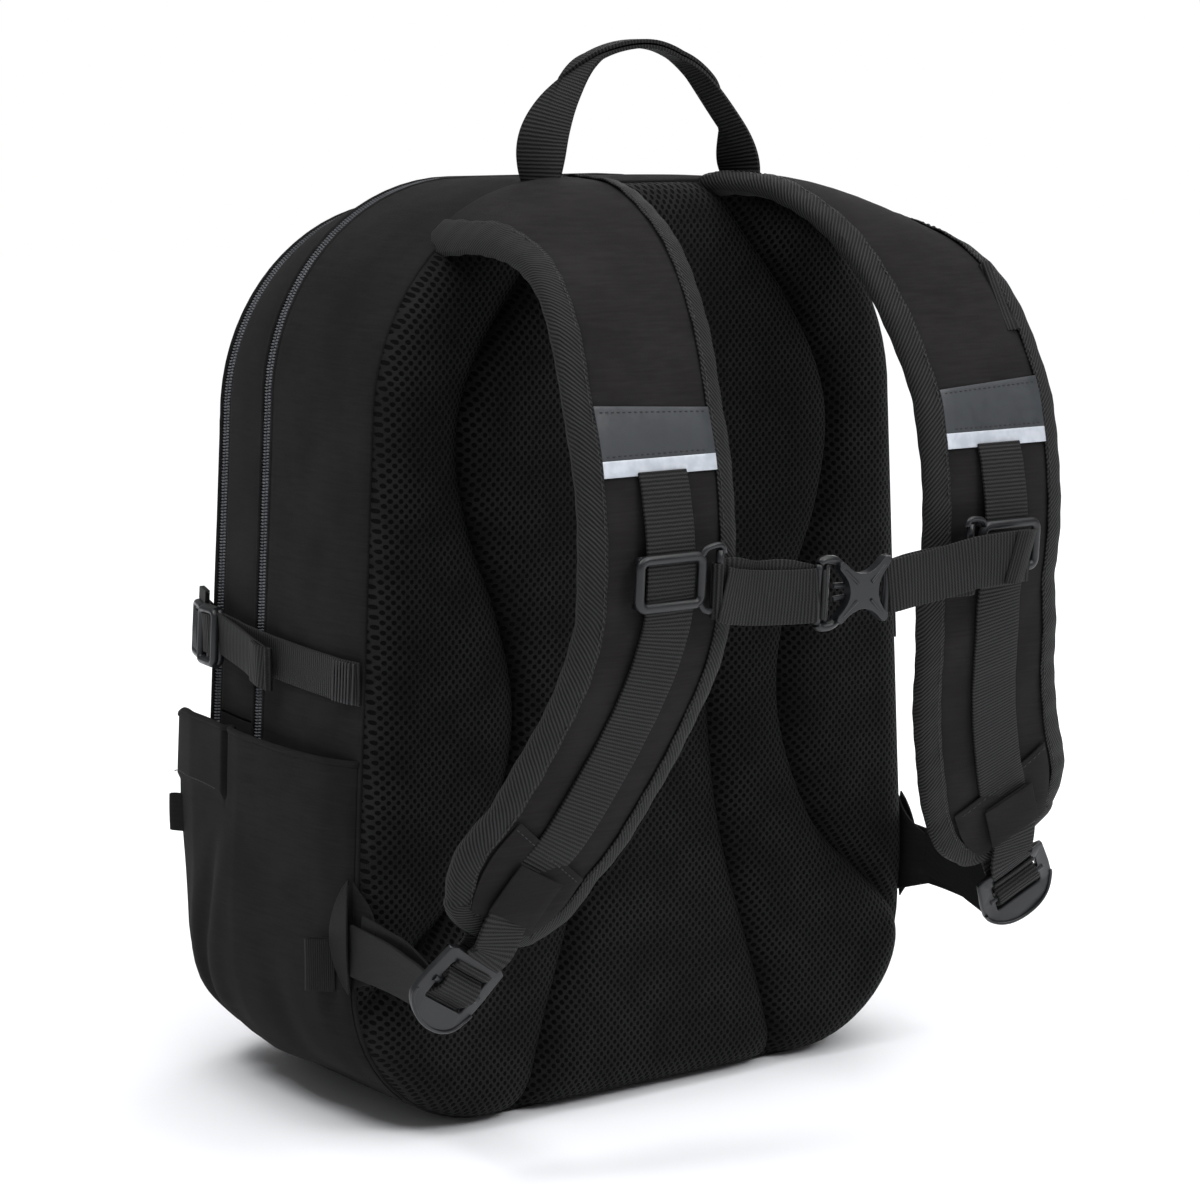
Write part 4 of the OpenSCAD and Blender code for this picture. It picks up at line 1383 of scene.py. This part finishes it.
def chest_turn(x, r, radius, side, width):
    """The tape's turn round a bar, open towards the other side."""
    turn = [hang(x + side * radius * sin(a), r + radius * cos(a), 0) for a in np.linspace(0, pi, 12)]
    return web("turn", turn, CHEST_UP, width, 0.0014, ripple=0)


left_tapes = [chest_web([(-0.0722, CHEST_R + 0.003, -0.0012), (-0.064, CHEST_R + 0.0016, -0.0022),
                         (-0.05, CHEST_R, -0.0024), (-0.03, CHEST_R, -0.0014),
                         (-0.017, CHEST_R + 0.0014, 0)]),
              chest_web([(-0.0722, CHEST_R - 0.0028, 0.0012), (-0.064, CHEST_R - 0.0022, 0.0024),
                         (-0.052, CHEST_R - 0.003, 0.0012), (-0.036, CHEST_R - 0.002, 0.0026),
                         (-0.017, CHEST_R - 0.0012, 0.0004)])]
left_tapes.append(chest_turn(-HOOK_X, WEB_R + 0.0034, 0.003, -1, CHEST_W))
left_tapes.append(chest_turn(-0.0165, CHEST_R, 0.0026, 1, 0.0225))
left_web = join("chest_webbing_left_tape", left_tapes)
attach(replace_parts(left_web, "chest_webbing_left"), "chest_strap_left")

right_tapes = [chest_web([(0.0225, CHEST_R + 0.001, 0), (0.034, CHEST_R, 0.0006), (0.05, CHEST_R, 0.001),
                          (0.064, CHEST_R + 0.0016, 0.0006), (0.0722, CHEST_R + 0.003, 0)]),
               chest_web([(0.0215, CHEST_R + 0.003, 0.0002), (0.032, CHEST_R + 0.0042, 0.001),
                          (0.05, CHEST_R + 0.0042, 0.0018), (0.07, CHEST_R + 0.0052, 0.0034),
                          (0.088, CHEST_R + 0.0062, 0.0046), (0.1035, CHEST_R + 0.006, 0.0052)])]
right_tapes.append(chest_turn(HOOK_X, WEB_R + 0.0034, 0.003, 1, CHEST_W))
# the loose tail is folded over at its end on a slant
fold_rows, fold_uv = [], []
for i in range(10):
    t = i / 9
    r0 = CHEST_R + 0.0062 + 0.0018 * sin(pi * t)
    fold_rows.append([hang(0.1035 + 0.0035 * (z / 0.0122) - 0.012 * t * (1 if i else 0),
                           r0 + (0.0012 if i > 4 else 0), 0.0052 + z)
                      for z in np.linspace(-0.0122, 0.0122, 9)])
    fold_uv.append([(j * 0.003, i * 0.002) for j in range(9)])
right_tapes.append(layer("fold", fold_rows, MAT["webbing"], fold_uv, 0.0014))
right_web = join("chest_webbing_right_tape", right_tapes)
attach(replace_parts(right_web, "chest_webbing_right"), "chest_strap_right")


def chest_bar(pts, r, squash=0.9, n=12):
    return rounded_bar([hang(*p) for p in spline(pts, n)], r, squash, False, 10, CHEST_OUT)


def frame_half():
    """Left half of the buckle: a rounded frame with a bar for the webbing and a slot for the tongues."""
    z, r = 0.0136, CHEST_R + 0.0002
    parts = [chest_bar([(-0.0172, r, -z), (-0.0176, r, 0), (-0.0172, r, z)], 0.0017, 1.25),
             chest_bar([(-0.0122, r - 0.0006, -z), (-0.0122, r - 0.0006, 0), (-0.0122, r - 0.0006, z)],
                       0.0014)]
    for s in (-1, 1):
        parts.append(chest_bar([(-0.0172, r, s * z), (-0.015, r, s * (z + 0.0016)),
                                (-0.0085, r, s * (z + 0.001)), (-0.002, r - 0.0006, s * 0.0098),
                                (0.004, r - 0.0008, s * 0.005)], 0.002, 1.2, 18))
    return join("chest_buckle_frame", parts)


def cross_outline(cx, tips, arm, waist, n=9):
    """Outline of an X: four rounded arms with a hollow curve between each two."""
    out = []
    for k, (tx, tz) in enumerate(tips):
        c, tip, nxt = vec(cx, 0), vec(tx, tz), vec(*tips[(k + 1) % 4])
        d = unit(tip - c)
        left = vec(-d[1], d[0])
        for a in np.linspace(-90, 90, 7):
            out.append(tuple(tip + (d * cos(radians(a)) + left * sin(radians(a))) * arm))
        d2 = unit(nxt - c)
        start, end = tip + left * arm, nxt - vec(-d2[1], d2[0]) * arm
        ctrl = c + unit(start + end - 2 * c) * waist
        for t in np.linspace(0, 1, n)[1:-1]:
            out.append(tuple(start * (1 - t) ** 2 + 2 * ctrl * t * (1 - t) + end * t * t))
    return out


def cross_half():
    """Right half: a cross-shaped body whose arms run to the bar that carries the webbing."""
    r = CHEST_R + 0.0016
    tips = [(0.0192, 0.0128), (-0.0062, 0.0118), (-0.0062, -0.0118), (0.0192, -0.0128)]
    outline = cross_outline(0.0062, tips, 0.0021, 0.0022)
    body = plate(outline, [], 0.0046, lambda x, y, h: hang(x, r + h + 0.0008 * cos(min(1.5, abs(y) * 90)),
            y), 0.0012)
    parts = [body, chest_bar([(0.021, r - 0.0006, -0.0142), (0.0222, r - 0.0006, 0),
                              (0.021, r - 0.0006, 0.0142)], 0.0019, 1.1)]
    for s in (-1, 1):
        parts.append(chest_bar([(-0.0088, r - 0.0014, s * 0.003), (-0.001, r - 0.0014, s * 0.0026),
                                (0.004, r - 0.0014, s * 0.002)], 0.0014))
        parts.append(chest_bar([(-0.005, r + 0.0024, s * 0.0104), (0.0022, r + 0.0032, s * 0.004)], 0.0007))
        parts.append(chest_bar([(0.018, r + 0.0024, s * 0.0112), (0.0102, r + 0.0032, s * 0.004)], 0.0007))
        parts.append(chest_bar([(0.0192, r - 0.0004, s * 0.0128), (0.0212, r - 0.0006, s * 0.014)], 0.0018))
    return join("chest_buckle_cross", parts)


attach(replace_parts(frame_half(), "chest_socket"), "chest_strap_left")
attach(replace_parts(cross_half(), "chest_latch"), "chest_strap_right")

# ---- side pockets


def half_width(y, z, inset=0.0):
    """Half width of the bag's outline at depth y and height z."""
    P = ring(y, inset)
    right_side = P[(P[:, 0] > 0.02) & (P[:, 1] < 0.39)]
    o = np.argsort(right_side[:, 1], kind="stable")
    return float(np.interp(z, right_side[o, 1], right_side[o, 0]))


PK_Y0, PK_Y1, PK_TOP = -0.088, 0.085, 0.178


def pocket_point(y, t):
    """A point on the pocket: t runs from the base (0) to the mouth (1)."""
    P = ring(y)
    outside = P[(P[:, 0] > 0.02) & (P[:, 1] < PK_TOP)]
    outside = outside[np.argsort(outside[:, 1] + 0.0001 * outside[:, 0], kind="stable")]
    outside = outside[outside[:, 0] > section(y)[0] - section(y)[4] * 0.42]
    top = vec(half_width(y, PK_TOP), PK_TOP)
    line = np.vstack([outside, top])
    s = arclen(line)
    q, before, after = along(np.array([t, max(t - 0.02, 0), min(t + 0.02, 1)]) * s[-1], s, line)
    d = unit(after - before)
    n = vec(d[1], -d[0])
    v = (y - PK_Y0) / (PK_Y1 - PK_Y0)
    edge = np.sin(pi * np.clip(v, 0, 1)) ** 0.42
    rise = smooth(0.0, 0.24, t)
    off = 0.0008 + 0.0022 * smooth(0, 0.12, v) * smooth(0, 0.1, t) + (0.0052 + 0.0034 * t) * edge * rise
    # long soft folds run down from the pleat
    fold_y = 0.022 + 0.024 * (1 - t) + 0.006 * sin(5 * t)
    low = smooth(0.02, 0.25, t) * smooth(0.8, 0.45, t)
    off += 0.0022 * exp(-((y - fold_y + 0.013) / 0.01) ** 2) * low
    off -= 0.0024 * exp(-((y - fold_y) / 0.006) ** 2) * low
    off += 0.0016 * exp(-((y - fold_y - 0.015) / 0.008) ** 2) * smooth(0.05, 0.3, t) * smooth(0.7, 0.4, t)
    off -= 0.0016 * exp(-((y + 0.05 - 0.05 * t) / 0.012) ** 2) * smooth(0.0, 0.2, t) * smooth(0.6, 0.3, t)
    off += 0.0014 * sin(46 * y + 9 * t + 2 * sin(6 * t)) * sin(6 * t + 1.2) * edge * smooth(0.82, 0.5, t)
    return q, n, max(off, 0.0007)


def side_pocket():
    ys = np.sort(np.concatenate([np.linspace(PK_Y0, PK_Y1, 76), np.linspace(0.015, 0.0215, 12)]))
    ts = np.concatenate([np.linspace(0, 0.82, 40), np.linspace(0.835, 1.0, 12)])
    rows = []
    for y in ys:
        row = []
        for t in ts:
            q, n, off = pocket_point(y, t)
            hem = 0.0017 * float(smooth(0.0185, 0.02, y)) * float(smooth(0.8, 0.812, t))
            pleat = -0.003 * exp(-((y - 0.0176) / 0.0014) ** 2) * float(smooth(0.79, 0.83, t))
            p = q + n * (off + hem + pleat)
            flare = float(smooth(0.2, 0.85, t)) * float(smooth(0.03, 0.085, y))
            row.append((-p[0] - 0.004 * flare, y + 0.0085 * flare, p[1] + 0.0012 * sin(30 * y) * t
                        - 0.006 * t * float(smooth(0.062, 0.085, y))))
        rows.append(row)
    outer = grid("pocket", rows, MAT["cloth"])
    face_towards(outer, Vector((-1, 0, 0)))
    thicken(outer, 0.0022)
    bevel(outer, 0.0008, 2)
    # the mouth's rolled edge and a strip of lining folded over inside it
    top = np.array([r[-1] for r in rows])
    roll = rounded_bar(top + vec(0.001, 0, 0.0002), 0.0016, 1.0, False, 8, (1, 0, 0), MAT["cloth"])
    lin_rows = []
    for i, y in enumerate(ys):
        if y < -0.07 or y > 0.078:
            continue
        lin_rows.append([(top[i, 0] + 0.0026, y, top[i, 2] - d) for d in (0.0008, 0.008, 0.018, 0.03)])
    lin = grid("lining_strip", lin_rows, MAT["lining"])
    thicken(lin, 0.0005, 0.0)
    q1 = np.array([vec(*rows[i][40]) + vec(-0.0016, 0, -0.0016) for i in range(len(ys)) if ys[i] > 0.0216])
    nn = np.repeat([[-1, 0, 0]], len(q1), 0)
    st = stitches("hem_stitch", q1, nn, 0.0032, 0.0023, 0.00026)
    return outer, roll, lin, st


pocket_parts = side_pocket()
pocket_l = join("side_pocket_left_cloth", [pocket_parts[0], pocket_parts[1], pocket_parts[3]])
lining_l = join("side_pocket_left_lining", [pocket_parts[2]])
pocket_r, lining_r = mirrored(pocket_l, "side_pocket_right_cloth"), mirrored(lining_l,
        "side_pocket_right_lining")
for o, side in ((pocket_l, "left"), (pocket_r, "right")):
    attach(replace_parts(o, "side_pocket_" + side), "bag_body")
for o in (lining_l, lining_r):
    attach(o, "bag_body")

# ---- compression straps and their buckles

SIDE_Z = 0.22


def beside(y, lift, z=SIDE_Z):
    """A point a little way out from the bag's left side."""
    return vec(-(half_width(y, z) + lift), y, z)


def side_web(pts, width=0.0205, t=0.0014, n=60):
    """Tape along the bag's side; pts are (y, distance out, z)."""
    return web("side", spline([beside(*q) for q in pts], n), (-0.04, 0, 1), width, t, ripple=0.00015)


def compression():
    parts = [side_web([(-0.0895, 0.002, 0.215), (-0.075, 0.004, 0.2155), (-0.04, 0.0044, 0.217),
                       (0.000, 0.0046, 0.2195), (0.03, 0.005, 0.2215), (0.042, 0.0054, 0.222)]),
             side_web([(-0.017, 0.0098, 0.214), (-0.005, 0.009, 0.2165), (0.014, 0.0078, 0.2195),
                       (0.032, 0.0078, 0.222), (0.042, 0.0074, 0.2228)], 0.02)]
    # doubled and stitched end of the loose tail
    parts.append(side_web([(-0.0205, 0.0086, 0.2132), (-0.0145, 0.0114, 0.2142), (-0.006, 0.0106, 0.216)],
                          0.0204, 0.0016, 20))
    tail_turn = [beside(-0.0205 - 0.0012 * sin(a), 0.0098 + 0.0014 * cos(a), 0.2134)
                 for a in np.linspace(0, pi, 8)]
    parts.append(web("d", tail_turn, (0, 0, 1), 0.0204, 0.0014, ripple=0))
    # bar of close stitching where the strap joins the back seam
    for k in range(7):
        y = -0.088 + 0.0026 * k
        q = np.array([beside(y, 0.0054 - 0.0009 * (k == 0), 0.2152 + z)
                      for z in np.linspace(-0.0095, 0.0095, 20)])
        parts.append(rounded_bar(q, 0.00055, 1.0, False, 6, (-1, 0, 0), MAT["thread"]))
    return join("compression_strap_left_tape", parts)


def side_bar(pts, r, squash=1.0, n=10):
    return rounded_bar(spline([beside(*p) for p in pts], n), r, squash, False, 10, (-1, 0, 0))


def side_rings(y0, lifts, half, corner, r):
    """Rounded rings one above the other on the bag's side, half as tall as given."""
    box = round_box(-0.0085, 0.0085, -half, half, corner, 4)
    return [rounded_bar([beside(y0 + y, lift, SIDE_Z + z) for y, z in box], r, 1.1, True, 10, (-1, 0, 0))
            for lift in lifts]


def side_plate(box, t, lift, bev=0.0008, material=MAT["plastic"]):
    """A flat moulded plate that stands off the bag's side."""
    return plate(round_box(*box), [], t, lambda y, z, h: beside(y, lift + h, SIDE_Z + z), bev, None,
                 material)


def side_buckle():
    """Hook half: a frame that holds the webbing, with a tongue towards the front."""
    z0, z1 = SIDE_Z - 0.0125, SIDE_Z + 0.0125
    parts = side_rings(0.0465, (0.0066, 0.0098), 0.0125, 0.0026, 0.002)
    for y in (0.0405, 0.0465):
        parts.append(side_bar([(y, 0.0084, z0), (y, 0.0084, SIDE_Z), (y, 0.0084, z1)], 0.0016))
    for z in (z0, z1):
        parts.append(side_bar([(0.0385, 0.0084, z), (0.0465, 0.0084, z), (0.0545, 0.0084, z)], 0.0026, 1.1))
    parts.append(side_plate((0.0545, 0.063, -0.0084, 0.0084, 0.002), 0.0034, 0.0084))
    parts.append(side_web([(0.04, 0.0096, 0.2215), (0.044, 0.0108, 0.2215), (0.05, 0.0106, 0.2215),
                           (0.0535, 0.009, 0.2215)], 0.0195, 0.0014, 20))
    return join("side_buckle_left_hook", parts)


def side_socket():
    """Loop half on the front panel: a ribbed catch with a grip tab above it."""
    parts = side_rings(0.068, (0.0042, 0.0086), 0.0122, 0.0028, 0.0019)
    for k in range(4):
        y = 0.063 + 0.003 * k
        parts.append(side_bar([(y, 0.01, SIDE_Z - 0.0095), (y, 0.0108, SIDE_Z), (y, 0.01, SIDE_Z + 0.0095)],
                              0.0009))
    parts.append(side_plate((0.0605, 0.0755, -0.0112, 0.0112, 0.002), 0.0022, 0.0086))
    parts.append(side_web([(0.074, 0.0058, 0.22), (0.079, 0.004, 0.22), (0.084, 0.0022, 0.22)], 0.02,
                          0.0014, 16))
    parts.append(side_plate((0.056, 0.0735, 0.0128, 0.0205, 0.001), 0.0026, 0.007, 0.0004, MAT["fine_web"]))
    return join("side_buckle_socket_left", parts)


tape = compression()
hook = side_buckle()
socket = side_socket()
for o, nm, body, node, slot_name in ((tape, "compression_strap_right_tape", "bag_body",
                                      "compression_strap_SIDE", "webbing"),
                                     (hook, "side_buckle_right_hook", "side_buckle_SIDE",
                                      "side_buckle_SIDE", "buckle_plastic"),
                                     (socket, "side_buckle_socket_right", "front_section", None,
                                      "buckle_plastic")):
    m = mirrored(o, nm)
    for q, side in ((o, "left"), (m, "right")):
        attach(q, body.replace("SIDE", side))
        if node:
            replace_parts(q, node.replace("SIDE", side))
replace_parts(socket, "side_buckle_sockets")

# ---- handle


def handle():
    path = spline([(-0.0585, -0.09, 0.436), (-0.059, -0.0905, 0.448), (-0.056, -0.09, 0.464),
                   (-0.047, -0.0885, 0.4805), (-0.033, -0.0865, 0.4942), (-0.013, -0.0855, 0.502),
                   (0.008, -0.0855, 0.5032), (0.0262, -0.0862, 0.4962), (0.0402, -0.088, 0.483),
                   (0.05, -0.0898, 0.465), (0.0575, -0.0905, 0.448), (0.06, -0.09, 0.436)], 150)
    s = arclen(path)
    L = s[-1]
    f = smooth(0.014, 0.095, s) * smooth(L - 0.008, L - 0.055, s)
    T = unit(np.gradient(path, axis=0))
    turn = 0.75 * np.sin(pi * np.clip(s / 0.075, 0, 1)) - 0.55 * np.sin(pi * np.clip((L - s) / 0.075, 0, 1))
    us = np.linspace(-0.0125, 0.0125, 21)
    rows, uv = [], []
    for i in range(len(path)):
        a0 = vec(0, -1, 0)
        a0 = unit(a0 - (a0 @ T[i]) * T[i])
        n0 = np.cross(T[i], a0)
        a = a0 * cos(turn[i]) + n0 * sin(turn[i])
        n = np.cross(T[i], a)
        row = []
        for u in us:
            fold = abs(u) - 0.0062
            side = tanh(u / 0.0012) * 0.0013
            row.append(path[i] + a * (u * (1 - f[i]) + fold * f[i])
                       + n * (side * f[i] + 0.0003 * sin(s[i] * 140) * (1 - f[i])))
        rows.append(row)
        uv.append([(u + 0.0125, s[i]) for u in us])
    return unmodify(layer("grab_handle_tape", rows, MAT["webbing"], uv, 0.0017, 0.0004))


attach(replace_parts(handle(), "grab_handle"), "grab_handle")

# ---- tabs and front pocket


def tab_loop(name, centre, across, along, out, w, l, t=0.0016, material=None):
    """A short folded loop of tape sewn in at its rear end."""
    c, a, b, n = vec(*centre), unit(vec(*across)), unit(vec(*along)), unit(vec(*out))
    pts = [c - b * l / 2 + n * 0.0012, c + n * 0.0016, c + b * (l / 2 - 0.001) + n * 0.0014]
    pts += [c + b * (l / 2 + 0.0002)]
    pts += [c + b * (l / 2 - 0.001) - n * 0.0014, c - n * 0.0016, c - b * l / 2 - n * 0.0012]
    return web(name, spline(pts, 40), a, w, t, material, ripple=0)


tabs = [tab_loop("t1", (-0.1735, -0.075, 0.0835), (0, 0, 1), (-0.72, 0.7, 0), (-0.7, -0.72, 0), 0.0245,
                 0.0135, 0.0016, MAT["tape"]), tab_loop("t2", (-0.1535, 0.074, 0.1265), (0, 0, 1),
        (-0.55, 0.83, 0), (0.83, 0.55, 0), 0.0185, 0.027, 0.0014, MAT["cloth"])]
on_bag(join("side_tabs_left", tabs), "side_tabs_right", "fabric_tabs")
tag_at = STRAP[int(np.argmin(np.abs(STRAP[:, 2] - 0.384) + (S_ARC < 0.05)))] * vec(-1, 1, 1)
tag_t = unit(STRAP[int(np.argmin(np.abs(STRAP[:, 2] - 0.376)))] * vec(-1, 1, 1) - tag_at)
tag_n = np.cross(vec(1, 0, 0), tag_t)
tag_n = tag_n * (-1 if tag_n[1] > 0 else 1)
label = tab_loop("strap_label", tag_at + vec(0.0292, 0, 0) + tag_n * 0.0034, tag_t, (1, 0, 0), tag_n, 0.036,
                 0.0058, 0.0014, MAT["webbing"])
label = unmodify(label)
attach(label, "strap_right")


def front_pocket():
    """Puffed pocket on the front with a zip across its top."""
    w, z0, z1, r = 0.105, 0.026, 0.17, 0.026
    rim = round_box(-w, w, z0, z1, r, 10)
    c = vec(0, (z0 + z1) / 2)
    rows = []
    n = len(rim)
    for k, (sc, y) in enumerate([(1.0, 0.088), (1.0, 0.0925), (0.997, 0.0965), (0.985, 0.0998),
                                 (0.962, 0.1018), (0.93, 0.103)] + [(q, 0.1032 + 0.0015 * (1 - q * q))
            for q in (0.86, 0.76, 0.64, 0.5, 0.36, 0.22, 0.1)]):
        row = []
        for x, z in rim:
            p = c + (vec(x, z) - c) * vec(sc, 1 - (1 - sc) * 1.15 if sc > 0.9 else sc)
            d = 0.001 * sin(40 * p[0] + 3) * sin(50 * p[1]) * (1 - sc) * 3
            groove = 0.0022 * exp(-((p[1] - 0.15) / 0.0028) ** 2) * (abs(p[0]) < 0.086) * (k > 3)
            row.append((p[0], y + d - groove, p[1]))
        rows.append(row)
    o = grid("fp", rows, MAT["cloth"], close_v=True)
    with editing(o) as bm:
        fill(bm, [(len(rows) - 1) * n + i for i in range(n)])
        bmesh.ops.recalc_face_normals(bm, faces=bm.faces)
    face_towards(o, Vector((0, 1, 0)))
    shade_smooth(o)
    thicken(o, 0.002)
    seam = [(x, 0.0893, z) for x, z in round_box(-w - 0.0002, w + 0.0002, z0 - 0.0002, z1 + 0.0002, r, 10)]
    piping = rounded_bar(seam, 0.0013, 1.0, True, 8, (0, 1, 0), MAT["twill"])
    coil = []
    for i, x in enumerate(np.arange(-0.082, 0.082, 0.0016)):
        s = 1 if i % 2 else -1
        coil.append(rounded_bar([(x, 0.104, 0.15 - 0.0016), (x, 0.105, 0.15 + 0.0004 * s),
                                 (x, 0.104, 0.15 + 0.0016)], 0.00062, 1.0, False, 5, (1, 0, 0),
                                MAT["coil"]))
    tape = grid("tape", np.array([[(x, 0.1036, z) for z in (0.1462, 0.1481, 0.15, 0.1519, 0.1538)]
                                  for x in np.linspace(-0.085, 0.085, 30)]), MAT["tape"],
                np.array([[(k * 0.002, i * 0.0058) for k in range(5)] for i in range(30)]))
    thicken(tape, 0.0006, 0.0)
    return join("front_pocket_cloth", [o, piping, tape] + coil)


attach(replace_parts(front_pocket(), "front_pocket"), "bag_body")

# inner pieces, sliders and pulls keep their CAD shapes, in better materials
ZIPS = ("main_%s_side", "main_%s_arch", "front_%s_side", "front_%s_arch", "pocket_%s")
LOOKS = {"metal": [name % "slider" for name in ZIPS], "plastic": [name % "pull" for name in ZIPS],
         "lining": ["main_lining", "laptop_sleeve", "lower_divider", "main_lid_divider"],
         "board": ["back_board", "base_board"]}
for look, names in LOOKS.items():
    for name in names:
        PARTS[name].data.materials.clear()
        PARTS[name].data.materials.append(MAT[look])
